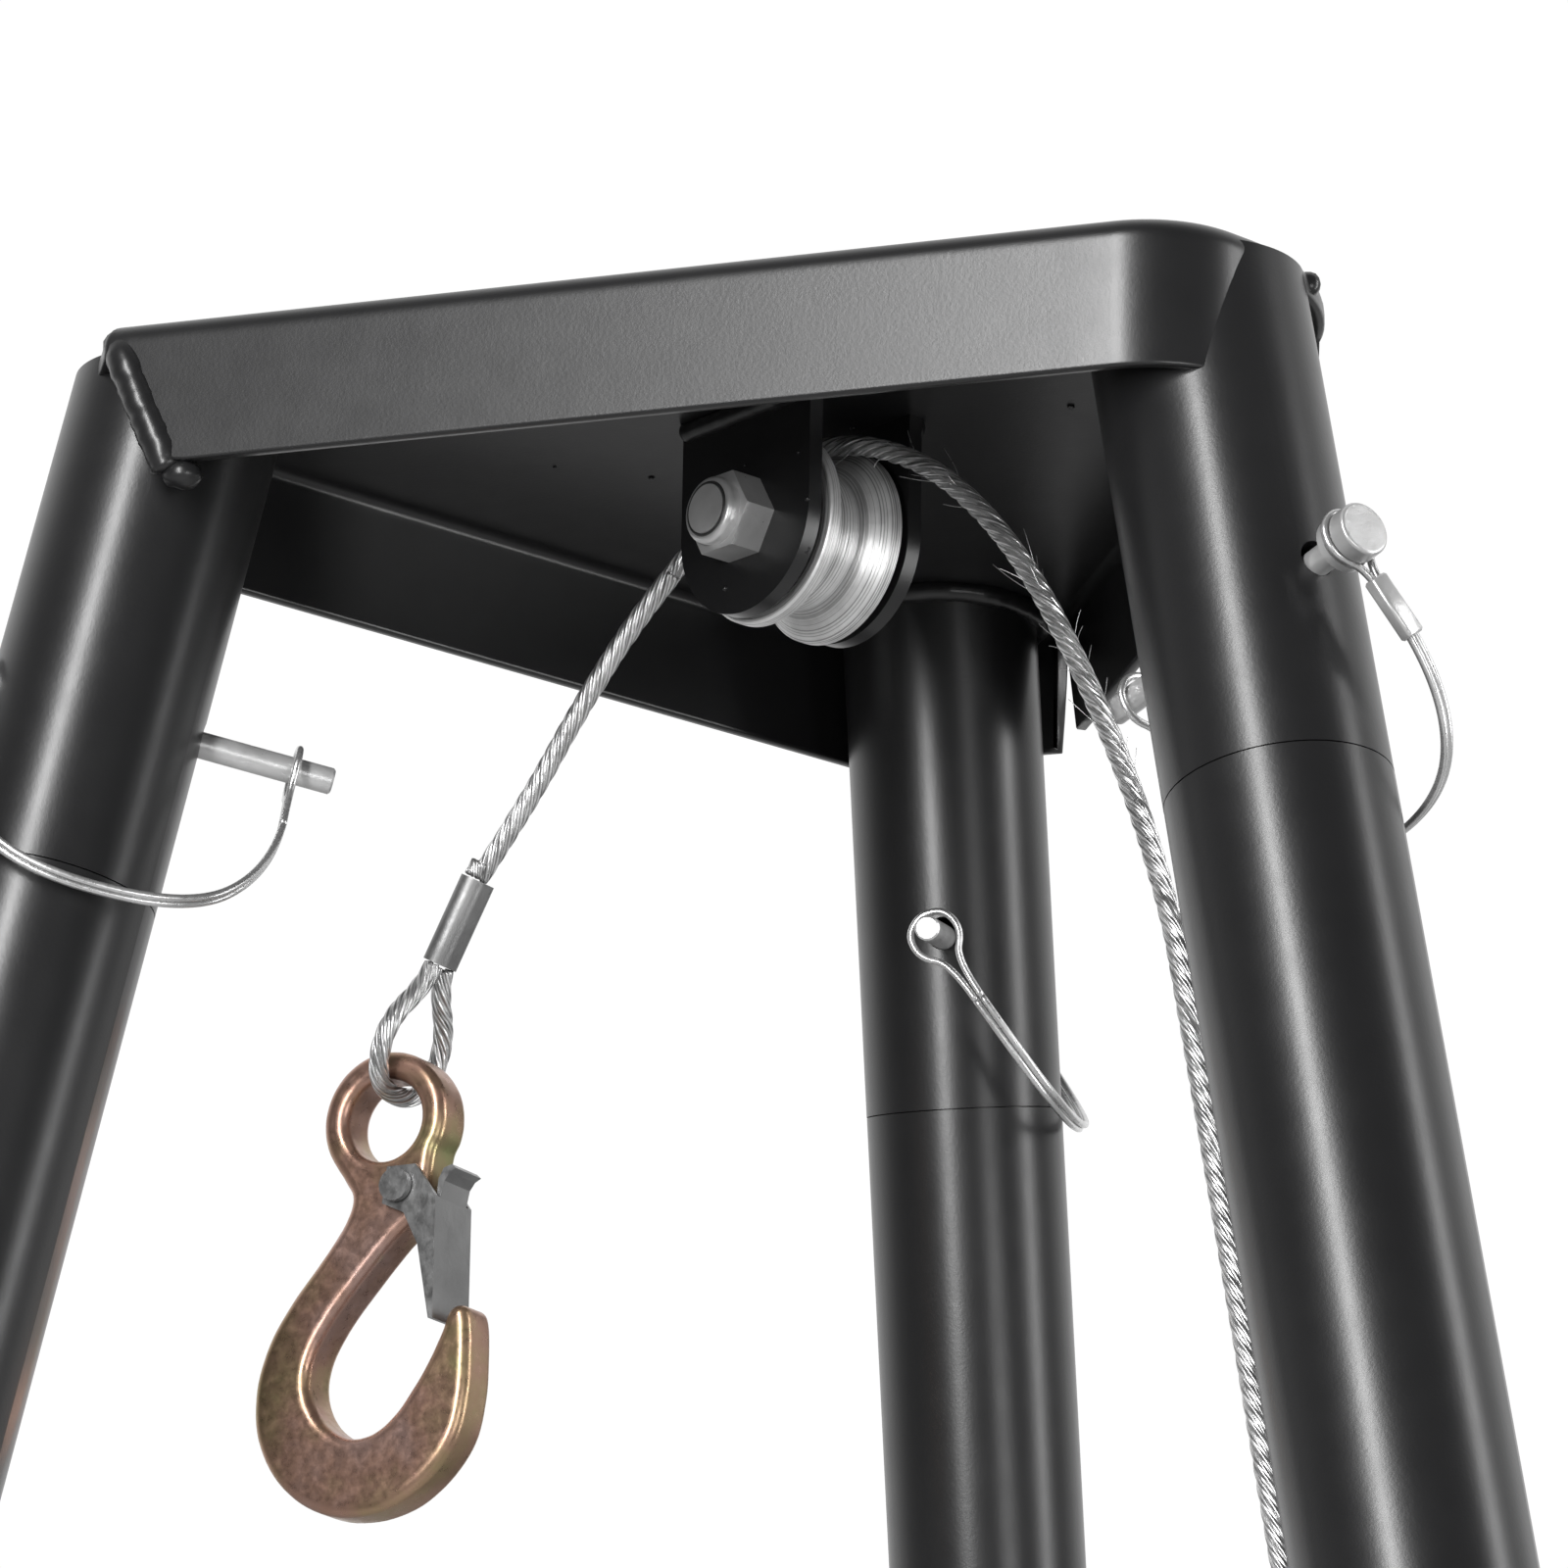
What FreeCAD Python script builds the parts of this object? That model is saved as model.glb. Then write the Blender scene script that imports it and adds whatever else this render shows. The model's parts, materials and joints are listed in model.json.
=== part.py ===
"""Tripod hoist: head pan, three two-part legs, sheave, hand winch, wire rope and latched hook.

Millimetres, +Z up, floor at z = 0.  Sub-parts are written to parts/NODE.step.
"""
import math
import os

import FreeCAD
import Part

V = FreeCAD.Vector
UP = V(0, 0, 1)

# ---------------------------------------------------------------- driving dimensions
HEAD_TOP = 2300.0
LEG_AZIMUTH = {"right": -30.0, "left": 210.0, "back": 90.0}
SPLAY = math.radians(11.73)
LEG_TOP_RADIUS = 141.3
TUBE_R = 25.4
TUBE_WALL = 2.0
SPIGOT_R = 23.2
SOCKET_LENGTH = 133.0
MID_JOINT = 1240.0
SPIGOT_TOP = 22.0
MID_SPIGOT = 112.0
MID_PIN_ABOVE = 45.0

PLATE_T = 3.0
FLANGE_FACE = 106.8
CORNER_FACE = 164.0
FLANGE_DEPTH = 36.1
BEND_R = 6.0
WIDE_CORNER_R = 40.0
TRIMMED_ENDS = ((-90, 1, 121, 110), (150, 1, 128, 124), (30, -1, 118, 107), (30, 1, 112, 104))

PAD_R = 52.0
PAD_T = 4.0
PAD_CENTRE = 629.0
STAKE_HOLE_R = 5.5
STAKE_HOLE_OUT = 36.0

PIN_R = 3.175
PIN_LENGTH = 92.0
PIN_HOLE_R = 4.25
PIN_STATION = 88.0
PIN_DROP = 1.0
PIN_HEAD_R = 6.35
PIN_HEAD_L = 9.0
PIN_GROOVE_R = 4.9
PIN_TURN = {"right": -8.0, "left": 0.0, "back": 9.0}
PIN_TIP = {"right": 50.0, "left": 57.4, "back": 57.4}
BAIL_WIRE_R = 0.9
BAIL_DROOP = {"right": 57.0, "left": 58.0, "back": 58.0}
BAIL_REACH = 59.0

SHEAVE_RHO = 11.5
SHEAVE_Z = -32.2
SHEAVE_RIM = 23.8
SHEAVE_HALF_WIDTH = 11.5
EAR_HALF_WIDTH = 22.8
EAR_INNER = 14.0
EAR_T = 4.0
BOLT_R = 6.0

ROPE_R = 2.5
FALL_AZIMUTH = 168.0
FALL_START_RHO = 4.0
FERRULE_LENGTH = 22.4

WINCH_STATION = 950.0
DRUM_OFFSET = 72.0
DRUM_CORE_R = 16.0
LAY_R = 37.0
WOUND_R = 32.0
DRUM_FLANGE_R = 42.0
DRUM_HALF = 25.0
WOUND_TURNS = 9
SIDE_INNER = 31.0
SIDE_T = 3.0
CRANK_LENGTH = 190.0

HOOK_HALF_T = 6.3
HOOK_AZIMUTH = -9.7
EYE_R = 17.0
EYE_HOLE_R = 10.2

AXIS_Y = -PAD_CENTRE / 4.0


# ---------------------------------------------------------------- frames and helpers
def heading(degrees):
    """Level unit vector at an azimuth."""
    a = math.radians(degrees)
    return V(math.cos(a), math.sin(a), 0)


def head_point(x, y, z):
    """Point given from the tripod axis at the head's top face."""
    return V(x, y + AXIS_Y, z + HEAD_TOP)


def in_plane(azimuth, rho, z, start=V(0, 0, 0)):
    """Point at a distance along an azimuth from the tripod axis."""
    p = start + heading(azimuth) * rho
    return head_point(p.x, p.y, z)


def placed(shape, origin, x_dir, y_dir, z_dir):
    """Shape moved from its own axes to the given right-handed frame."""
    m = FreeCAD.Matrix(
        x_dir.x, y_dir.x, z_dir.x, origin.x,
        x_dir.y, y_dir.y, z_dir.y, origin.y,
        x_dir.z, y_dir.z, z_dir.z, origin.z,
        0, 0, 0, 1,
    )
    out = shape.copy()
    out.Placement = FreeCAD.Placement(m).multiply(shape.Placement)
    return out


def to_row(frame, x, y, z):
    """Point of a local frame in the row frame."""
    origin, x_dir, y_dir, z_dir = frame
    return origin + x_dir * x + y_dir * y + z_dir * z


def cylinder(radius, length, start, along):
    """Solid cylinder."""
    return Part.makeCylinder(radius, length, start, along)


def ring(outer, inner, length, start, along):
    """Cylinder with a bore."""
    body = cylinder(outer, length, start, along)
    cutter = cylinder(inner, length + 2, start - along, along)
    return body.cut(cutter)


def prism(points, z_low, height):
    """Solid from a closed polygon in XY."""
    corners = [V(x, y, z_low) for x, y in points]
    wire = Part.makePolygon(corners + [corners[0]])
    return Part.Face(wire).extrude(V(0, 0, height))


def leg_frame(leg, station):
    """Frame on a leg's axis: X inward, Y across, Z up along the leg."""
    out = heading(LEG_AZIMUTH[leg])
    down = out * math.sin(SPLAY) - UP * math.cos(SPLAY)
    foot = out * LEG_TOP_RADIUS
    origin = head_point(foot.x, foot.y, 0) + down * station
    z_dir = down * -1
    x_dir = out * -math.cos(SPLAY) - UP * math.sin(SPLAY)
    y_dir = z_dir.cross(x_dir)
    return origin, x_dir, y_dir, z_dir


def turned(frame, degrees):
    """Frame turned about its own Z."""
    origin, x_dir, y_dir, z_dir = frame
    c = math.cos(math.radians(degrees))
    s = math.sin(math.radians(degrees))
    return origin, x_dir * c + y_dir * s, y_dir * c - x_dir * s, z_dir


def rounded_path(points, radii=None, report=""):
    """Wire of straight runs joined by tangent arcs."""
    edges = []
    last = points[0]
    used = []
    for i in range(1, len(points) - 1):
        a = (points[i - 1] - points[i]).normalize()
        b = (points[i + 1] - points[i]).normalize()
        runs = min((points[i - 1] - points[i]).Length, (points[i + 1] - points[i]).Length)
        half_turn = (math.pi - a.getAngle(b)) / 2
        radius = 0.45 * runs / math.tan(half_turn)
        if radii and radii.get(i):
            radius = radii[i]
        back = radius * math.tan(half_turn)
        used.append(round(radius, 1))
        start = points[i] + a * back
        end = points[i] + b * back
        inward = (a + b).normalize()
        middle = points[i] + inward * (radius / math.cos(half_turn) - radius)
        if (start - last).Length > 1e-6:
            edges.append(Part.makeLine(last, start))
        edges.append(Part.Arc(start, middle, end).toShape())
        last = end
    edges.append(Part.makeLine(last, points[-1]))
    wire = Part.Wire(edges)
    if report:
        print(report, "bend radii", used, "length", round(wire.Length, 1))
    return wire


def round_bar(wire, radius, report=""):
    """Round section swept along a wire."""
    first = wire.OrderedEdges[0]
    start = first.valueAt(first.FirstParameter)
    along = first.tangentAt(first.FirstParameter)
    if first.Orientation == "Reversed":
        start = first.valueAt(first.LastParameter)
        along = first.tangentAt(first.LastParameter) * -1
    section = Part.Wire(Part.Circle(start, along, radius).toShape())
    solid = wire.makePipeShell([section], True, False)
    if solid.Volume < 0:
        solid.reverse()
    if report:
        print(report, "volume ratio", round(solid.Volume / (math.pi * radius ** 2 * wire.Length), 4))
    return solid


# ---------------------------------------------------------------- head
def pan_outline(inset):
    """Six corners of the head pan, counter-clockwise, inset from the outside faces."""
    sides = []
    for azimuth in (-90, -30, 30, 90, 150, 210):
        corner = azimuth in (-30, 90, 210)
        distance = (CORNER_FACE if corner else FLANGE_FACE) - inset
        sides.append((heading(azimuth), distance))
    points = []
    for i in range(6):
        n1, d1 = sides[i]
        n2, d2 = sides[(i + 1) % 6]
        det = n1.x * n2.y - n1.y * n2.x
        points.append(((d1 * n2.y - d2 * n1.y) / det, (d2 * n1.x - d1 * n2.x) / det))
    return points


def rounded_block(inset, top, bottom, radius):
    """Pan-shaped block with its top edges rounded and one corner bent wide round its socket."""
    block = prism(pan_outline(inset), bottom, top - bottom)
    upright = [e for e in block.Edges if abs(e.Vertexes[0].Z - e.Vertexes[1].Z) > 1]
    wide = [e for e in upright if e.CenterOfMass.dot(heading(-30)) > CORNER_FACE * 0.8]
    block = block.makeFillet(WIDE_CORNER_R - inset, wide)
    edges = [e for e in block.Edges if abs(e.CenterOfMass.z - top) < 1e-3]
    return block.makeFillet(radius, edges)


def socket_envelope(leg, radius):
    """Leg-tube cylinder below the head plate."""
    origin, x_dir, y_dir, z_dir = leg_frame(leg, SOCKET_LENGTH)
    body = cylinder(radius, SOCKET_LENGTH + 40, origin, z_dir)
    lid = Part.makeBox(400, 400, 200, head_point(-200, -200, -PLATE_T))
    foot = heading(LEG_AZIMUTH[leg]) * LEG_TOP_RADIUS
    lid.translate(V(foot.x, foot.y, 0))
    return body.cut(lid)


def end_notch(normal_azimuth, side, top_end, bottom_end):
    """Cutter that trims one end of a skirt on a slant."""
    profile = [(bottom_end, -60), (bottom_end, -FLANGE_DEPTH), (top_end, -BEND_R - 1), (165, -BEND_R - 1), (165, -60)]
    corners = [V(side * t, 0, z) for t, z in profile]
    wire = Part.makePolygon(corners + [corners[0]])
    block = Part.Face(wire).extrude(V(0, 16, 0))
    n = heading(normal_azimuth)
    across = UP.cross(n)
    return placed(block, head_point(0, 0, 0) + n * (FLANGE_FACE - 8), across * -1, n, UP)


def head_plate():
    """Folded triangular pan that carries the three sockets."""
    outer = rounded_block(0.0, 0.0, -FLANGE_DEPTH, BEND_R)
    inner = rounded_block(PLATE_T, -PLATE_T, -FLANGE_DEPTH - 5, BEND_R - PLATE_T)
    pan = outer.cut(inner)
    pan.translate(head_point(0, 0, 0))
    for leg in LEG_AZIMUTH:
        pan = pan.cut(socket_envelope(leg, TUBE_R + 0.02))
    # skirt ends: normal azimuth, side seen along the skirt, end at the top, end at the bottom
    for azimuth, side, top_end, bottom_end in TRIMMED_ENDS:
        pan = pan.cut(end_notch(azimuth, side, top_end, bottom_end))
    solids = sorted(pan.Solids, key=lambda s: -s.Volume)
    return solids[0]


def pin_frame(leg, station):
    """Frame of a lock pin: X from head to tip through the tube."""
    return turned(leg_frame(leg, station), PIN_TURN[leg])


def pin_bore(leg, station):
    """Cross hole for a lock pin."""
    origin, x_dir, y_dir, z_dir = pin_frame(leg, station)
    return cylinder(PIN_HOLE_R, 80, origin - x_dir * 40, x_dir)


def socket(leg):
    """Short tube welded under the head plate."""
    shape = socket_envelope(leg, TUBE_R).cut(socket_envelope(leg, TUBE_R - TUBE_WALL))
    return shape.cut(pin_bore(leg, PIN_STATION))


def ring_bead(leg):
    """Weld bead round the top of a socket."""
    out = heading(LEG_AZIMUTH[leg])
    rho = LEG_TOP_RADIUS + (PLATE_T + 1.2) * math.tan(SPLAY)
    centre = head_point(0, 0, -PLATE_T - 1.2) + out * rho
    bead = Part.makeTorus(TUBE_R + 1.2, 2.6, centre, UP)
    bead = bead.cut(socket_envelope(leg, TUBE_R + 0.05))
    bead = bead.cut(socket_envelope(leg, TUBE_R - 1.9))
    cavity = rounded_block(PLATE_T + 0.03, -PLATE_T - 0.03, -FLANGE_DEPTH, BEND_R - PLATE_T)
    cavity.translate(head_point(0, 0, 0))
    bead = bead.common(cavity)
    return sorted(bead.Solids, key=lambda s: -s.Volume)[0]


def ear_bead(s):
    """Weld bead along an ear's top edge."""
    n = heading(60)
    across = heading(-30)
    start = head_point(0, 0, -PLATE_T - 0.4) + across * (SHEAVE_RHO - EAR_HALF_WIDTH) + n * s
    bead = cylinder(2.6, 2 * EAR_HALF_WIDTH, start, across)
    top = Part.makeBox(120, 120, 20, head_point(-60, -60, -PLATE_T - 0.02))
    return bead.cut(top)


def weld_beads():
    """All weld beads of the head."""
    beads = [ring_bead(leg) for leg in LEG_AZIMUTH]
    for side in (-1, 1):
        outer = (EAR_INNER + EAR_T) * side
        slab = placed(Part.makeBox(80, EAR_T + 0.04, 80), head_point(0, 0, -60), heading(-30), heading(60), UP)
        low = min(EAR_INNER * side, outer) - 0.02
        slab.translate(heading(60) * low + heading(-30) * (SHEAVE_RHO - 40))
        beads.append(ear_bead(outer).cut(slab))
    return Part.makeCompound(beads)


def bracket_frame():
    """Frame at the sheave's centre: X outward, Y along the axle, Z up."""
    origin = in_plane(-30, SHEAVE_RHO, SHEAVE_Z)
    return origin, heading(-30), heading(60), UP


def ear(side):
    """One cheek of the sheave bracket."""
    origin, x_dir, y_dir, z_dir = bracket_frame()
    top = -PLATE_T - SHEAVE_Z
    plate = Part.makeBox(2 * EAR_HALF_WIDTH, EAR_T, top, V(-EAR_HALF_WIDTH, 0, 0))
    plate = plate.fuse(cylinder(EAR_HALF_WIDTH, EAR_T, V(0, 0, 0), V(0, 1, 0))).removeSplitter()
    plate = plate.cut(cylinder(BOLT_R + 0.2, EAR_T + 2, V(0, -1, 0), V(0, 1, 0)))
    low = EAR_INNER if side > 0 else -EAR_INNER - EAR_T
    return placed(plate, origin + y_dir * low, x_dir, y_dir, z_dir)


def hexagon(flats, height, start):
    """Hexagonal prism along +Y."""
    r = flats / 2 / math.cos(math.pi / 6)
    corners = [V(r * math.cos(k * math.pi / 3), 0, r * math.sin(k * math.pi / 3)) for k in range(7)]
    face = Part.Face(Part.makePolygon(corners))
    block = face.extrude(V(0, height, 0))
    limit = Part.makeCone(r - 0.2, r + 4, height * 0.5, V(0, 0, 0), V(0, 1, 0))
    limit = limit.fuse(cylinder(r + 4, height, V(0, height * 0.4, 0), V(0, 1, 0)))
    block = block.common(limit)
    block.translate(V(0, start, 0))
    return block


def pulley_bolt():
    """Axle bolt with a hexagon head on the far side."""
    outer = EAR_INNER + EAR_T
    shank = cylinder(BOLT_R, 2 * outer + 12.4, V(0, -outer - 12.4, 0), V(0, 1, 0))
    head = hexagon(18.5, 7.5, 0)
    head = head.mirror(V(0, 0, 0), V(0, 1, 0))
    head.translate(V(0, outer + 7.5, 0))
    return placed(shank.fuse(head), *bracket_frame())


def pulley_nut():
    """Lock nut with a rounded collar on the near side."""
    outer = EAR_INNER + EAR_T
    body = hexagon(18.5, 8.6, -outer - 8.6)
    collar = cylinder(8.2, 3.4, V(0, -outer - 12.0, 0), V(0, 1, 0))
    rim = [e for e in collar.Edges if abs(e.CenterOfMass.y + outer + 12.0) < 1e-3]
    collar = collar.makeFillet(1.4, rim)
    nut = body.fuse(collar).cut(cylinder(BOLT_R + 0.02, 20, V(0, -outer - 15, 0), V(0, 1, 0)))
    return placed(nut.removeSplitter(), *bracket_frame())


def pulley_washers():
    """Thrust washers each side of the sheave."""
    gap = EAR_INNER - SHEAVE_HALF_WIDTH
    washers = []
    for side in (-1, 1):
        start = EAR_INNER - gap + 0.3 if side > 0 else -EAR_INNER
        washers.append(ring(10.5, BOLT_R + 0.1, gap - 0.3, V(0, start, 0), V(0, 1, 0)))
    return placed(Part.makeCompound(washers), *bracket_frame())


def sheave():
    """Grooved pulley with wide conical walls."""
    w = SHEAVE_HALF_WIDTH
    r = SHEAVE_RIM
    half = [(8.0, w), (r - 0.6, w), (r, w - 0.6), (r, w - 2.8), (17.2, 3.6), (17.0, 1.2)]
    profile = [(x, -y) for x, y in half] + half[::-1]
    corners = [V(r, s, 0) for r, s in profile]
    face = Part.Face(Part.makePolygon(corners + [corners[0]]))
    body = face.revolve(V(0, 0, 0), V(0, 1, 0), 360)
    for side in (-1, 1):
        start = V(0, side * w - (2.0 if side > 0 else 0), 0)
        body = body.cut(ring(20.5, 12.5, 2.0, start, V(0, 1, 0)))
    return placed(body, *bracket_frame())


def sheave_bushing():
    """Bronze bush pressed into the sheave."""
    bush = ring(8.0, BOLT_R + 0.05, 2 * SHEAVE_HALF_WIDTH, V(0, -SHEAVE_HALF_WIDTH, 0), V(0, 1, 0))
    return placed(bush, *bracket_frame())


# ---------------------------------------------------------------- legs, pins and bails
def leg_tube(leg, top, bottom, spigot_top, pin_stations, foot=False):
    """Leg section with the reduced spigot at its upper end."""
    origin, x_dir, y_dir, z_dir = leg_frame(leg, bottom)
    outer = ring(TUBE_R, TUBE_R - TUBE_WALL, bottom - top, origin, z_dir)
    start, _, _, _ = leg_frame(leg, top + 14)
    spigot = ring(SPIGOT_R, SPIGOT_R - TUBE_WALL, top + 14 - spigot_top, start, z_dir)
    collar = ring(TUBE_R - 0.5, SPIGOT_R - TUBE_WALL, 14, start, z_dir)
    shape = outer.fuse(collar).fuse(spigot)
    if foot:
        floor_box = Part.makeBox(3000, 3000, 300, V(-1500, -1500, PAD_T - 300))
        shape = shape.cut(floor_box)
    for station in pin_stations:
        shape = shape.cut(pin_bore(leg, station))
    return shape.removeSplitter()


def foot_pad(leg):
    """Round foot with a stake hole."""
    out = heading(LEG_AZIMUTH[leg])
    centre = V(0, AXIS_Y, 0) + out * PAD_CENTRE
    pad = cylinder(PAD_R, PAD_T, centre, UP)
    rim = [e for e in pad.Edges if abs(e.CenterOfMass.z - PAD_T) < 1e-3]
    pad = pad.makeFillet(1.2, rim)
    hole = centre + out * STAKE_HOLE_OUT
    pad = pad.cut(cylinder(STAKE_HOLE_R, PAD_T + 2, hole - UP, UP))
    rib = Part.Face(Part.makePolygon([V(27, 0, PAD_T), V(46, 0, PAD_T), V(19, 0, 34), V(19, 0, PAD_T), V(27, 0, PAD_T)]))
    ribs = []
    for turn in (55, 125, 235, 305):
        block = rib.extrude(V(0, 4, 0))
        block.translate(V(0, -2, 0))
        x_dir = heading(LEG_AZIMUTH[leg] + turn)
        ribs.append(placed(block, centre - out * 10, x_dir, UP.cross(x_dir), UP))
    origin, _, _, z_dir = leg_frame(leg, 2400)
    leg_cut = cylinder(TUBE_R + 0.02, 300, origin, z_dir)
    for block in ribs:
        pad = pad.fuse(block)
    trimmed = pad.cut(leg_cut.cut(Part.makeBox(3000, 3000, 300, V(-1500, -1500, PAD_T - 300))))
    keep = sorted(trimmed.Solids, key=lambda s: -s.Volume)[0]
    return keep


def lock_pin(leg, station):
    """Wire-lock pin: shank, grooved head."""
    origin, x_dir, y_dir, z_dir = pin_frame(leg, station)
    tip = PIN_TIP[leg]
    start = origin - z_dir * PIN_DROP + x_dir * (tip - PIN_LENGTH)
    shank = cylinder(PIN_R, PIN_LENGTH, start, x_dir)
    ends = [e for e in shank.Edges if (e.CenterOfMass - (start + x_dir * PIN_LENGTH)).Length < 1e-3]
    shank = shank.makeChamfer(0.5, ends)
    head = cylinder(PIN_HEAD_R, PIN_HEAD_L, start, x_dir)
    rims = [e for e in head.Edges if (e.CenterOfMass - start).Length < 1e-3]
    head = head.makeFillet(0.8, rims)
    groove = ring(PIN_HEAD_R + 1, PIN_GROOVE_R, 2.8, start + x_dir * (PIN_HEAD_L - 4.6), x_dir)
    return shank.fuse(head.cut(groove))


def bail_frame(leg, station):
    """Frame of a bail: X along the pin, Y down the hanging side, Z across."""
    origin, x_dir, y_dir, z_dir = pin_frame(leg, station)
    side = {"right": -1, "left": -1, "back": 1}[leg]
    level = y_dir * side
    droop = math.radians(BAIL_DROOP[leg])
    down = level * math.cos(droop) - z_dir * math.sin(droop)
    return origin - z_dir * PIN_DROP, x_dir, down, x_dir.cross(down)


def teardrop(x, inner_r, stem, ends_at):
    """Open loop of wire round the pin in the plane across it."""
    r = inner_r + BAIL_WIRE_R
    c = stem
    w = BAIL_WIRE_R + 0.02
    side = [(ends_at, w), (c + 1.15 * r, w), (c + 0.35 * r, r), (c - 0.65 * r, 0.95 * r), (c - 1.06 * r, 0.3 * r)]
    both = side + [(y, -z) for y, z in reversed(side)]
    return [V(x, y, z) for y, z in both]


def bail(leg, station):
    """Two-wire bail with a loop at each end and a crimp sleeve near the head."""
    x_head = PIN_TIP[leg] - PIN_LENGTH + PIN_HEAD_L - 3.2
    x_tip = PIN_TIP[leg] - 9.5
    w = BAIL_WIRE_R + 0.02
    span = x_tip - x_head
    arch = [V(x_head, 22, 0), V(x_head + 1, 40, 0), V(x_head + 0.26 * span, BAIL_REACH, 0),
            V(x_tip - 0.22 * span, BAIL_REACH - 1, 0), V(x_tip - 1, 38, 0), V(x_tip, 21, 0)]
    solids = []
    for side in (1, -1):
        path = [p + V(0, 0, w * side) for p in arch]
        solids.append(round_bar(rounded_path(path), BAIL_WIRE_R))
    solids.append(round_bar(rounded_path(teardrop(x_tip, 5.4, 2.2, 21)), BAIL_WIRE_R))
    solids.append(round_bar(rounded_path(teardrop(x_head, 5.3, 0.0, 12)), BAIL_WIRE_R))
    sleeve = Part.makeBox(3.4, 15, 5.4, V(x_head - 1.7, 10, -2.7))
    long_edges = [e for e in sleeve.Edges if abs(e.Length - 15) < 1e-3]
    sleeve = sleeve.makeFillet(0.9, long_edges)
    shape = sleeve
    for solid in solids:
        shape = shape.fuse(solid)
    return placed(shape, *bail_frame(leg, station))


# ---------------------------------------------------------------- winch
def winch_frame_axes():
    """Frame on the winch leg's axis at the drum: X inward, Y across, Z up the leg."""
    return leg_frame("right", WINCH_STATION)


def drum_frame():
    """Frame at the drum's centre."""
    origin, x_dir, y_dir, z_dir = winch_frame_axes()
    return origin + x_dir * DRUM_OFFSET, x_dir, y_dir, z_dir


def winch_frame():
    """Folded U bracket: base against the leg, two side plates."""
    base = Part.makeBox(3, 2 * (SIDE_INNER + SIDE_T), 160, V(TUBE_R + 0.02, -SIDE_INNER - SIDE_T, -80))
    shape = base
    for side in (-1, 1):
        y = SIDE_INNER if side > 0 else -SIDE_INNER - SIDE_T
        outline = [(TUBE_R + 0.02, -62), (DRUM_OFFSET + 26, -34), (DRUM_OFFSET + 26, 40), (DRUM_OFFSET - 4, 62),
                   (TUBE_R + 0.02, 63)]
        corners = [V(x, y, z) for x, z in outline]
        plate = Part.Face(Part.makePolygon(corners + [corners[0]])).extrude(V(0, SIDE_T, 0))
        shape = shape.fuse(plate)
    for y in (-1, 1):
        for z in (-70, 72):
            shape = shape.cut(cylinder(4.3, 10, V(TUBE_R - 3, y * 29.6, z), V(1, 0, 0)))
    shape = shape.cut(cylinder(6.06, 90, V(DRUM_OFFSET, -45, 0), V(0, 1, 0)))
    pivot = cylinder(3.0, 12.0, V(DRUM_OFFSET + 2, -SIDE_INNER - SIDE_T - 12.0, 44), V(0, 1, 0))
    keeper = cylinder(5.2, 1.6, V(DRUM_OFFSET + 2, -SIDE_INNER - SIDE_T - 12.0, 44), V(0, 1, 0))
    return placed(shape.fuse(pivot).fuse(keeper).removeSplitter(), *winch_frame_axes())


def winch_u_bolts():
    """U bolts round the leg with their nuts."""
    solids = []
    for z in (-70, 72):
        path = [V(40, 29.7, z), V(-29.7, 29.7, z), V(-29.7, -29.7, z), V(40, -29.7, z)]
        wire = rounded_path(path, {1: 29.5, 2: 29.5})
        bolt = round_bar(wire, 4.0)
        for y in (-29.7, 29.7):
            nut = hexagon(13.0, 6.5, 0)
            nut = nut.cut(cylinder(3.9, 10, V(0, -1, 0), V(0, 1, 0)))
            nut = placed(nut, V(TUBE_R + 3.1, y, z), V(0, 0, 1), V(1, 0, 0), V(0, 1, 0))
            bolt = bolt.fuse(nut)
        solids.append(bolt)
    return placed(Part.makeCompound(solids), *winch_frame_axes())


def winch_drum():
    """Drum core and flanges on the shaft."""
    core = cylinder(DRUM_CORE_R, 2 * DRUM_HALF, V(0, -DRUM_HALF, 0), V(0, 1, 0))
    shape = core
    for y in (-DRUM_HALF - 2.0, DRUM_HALF):
        flange = cylinder(DRUM_FLANGE_R, 2.0, V(0, y, 0), V(0, 1, 0))
        for k in range(6):
            a = math.radians(60 * k + 15)
            hole = cylinder(6.0, 4, V(28 * math.cos(a), y - 1, 28 * math.sin(a)), V(0, 1, 0))
            flange = flange.cut(hole)
        shape = shape.fuse(flange)
    hubs = cylinder(11.0, 2 * SIDE_INNER - 0.8, V(0, -SIDE_INNER + 0.4, 0), V(0, 1, 0))
    shape = shape.fuse(hubs).cut(cylinder(6.04, 80, V(0, -40, 0), V(0, 1, 0)))
    return placed(shape.removeSplitter(), *drum_frame())


def drum_shaft():
    """Shaft through drum, side plates, ratchet wheel and crank."""
    shape = cylinder(6.0, 104, V(0, -50, 0), V(0, 1, 0))
    nut = hexagon(16.0, 7.0, 54)
    return placed(shape.fuse(nut), *drum_frame())


def ratchet_wheel():
    """Saw-toothed wheel outside the side plate."""
    count = 12
    points = []
    for k in range(count):
        a = 2 * math.pi * k / count
        b = 2 * math.pi * (k + 0.06) / count
        points.append((24.0 * math.cos(a), 24.0 * math.sin(a)))
        points.append((19.0 * math.cos(b), 19.0 * math.sin(b)))
    corners = [V(x, 0, z) for x, z in points]
    face = Part.Face(Part.makePolygon(corners + [corners[0]]))
    wheel = face.extrude(V(0, 6, 0))
    wheel = wheel.cut(cylinder(6.04, 10, V(0, -2, 0), V(0, 1, 0)))
    wheel.translate(V(0, -SIDE_INNER - SIDE_T - 8.0, 0))
    return placed(wheel, *drum_frame())


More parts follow.
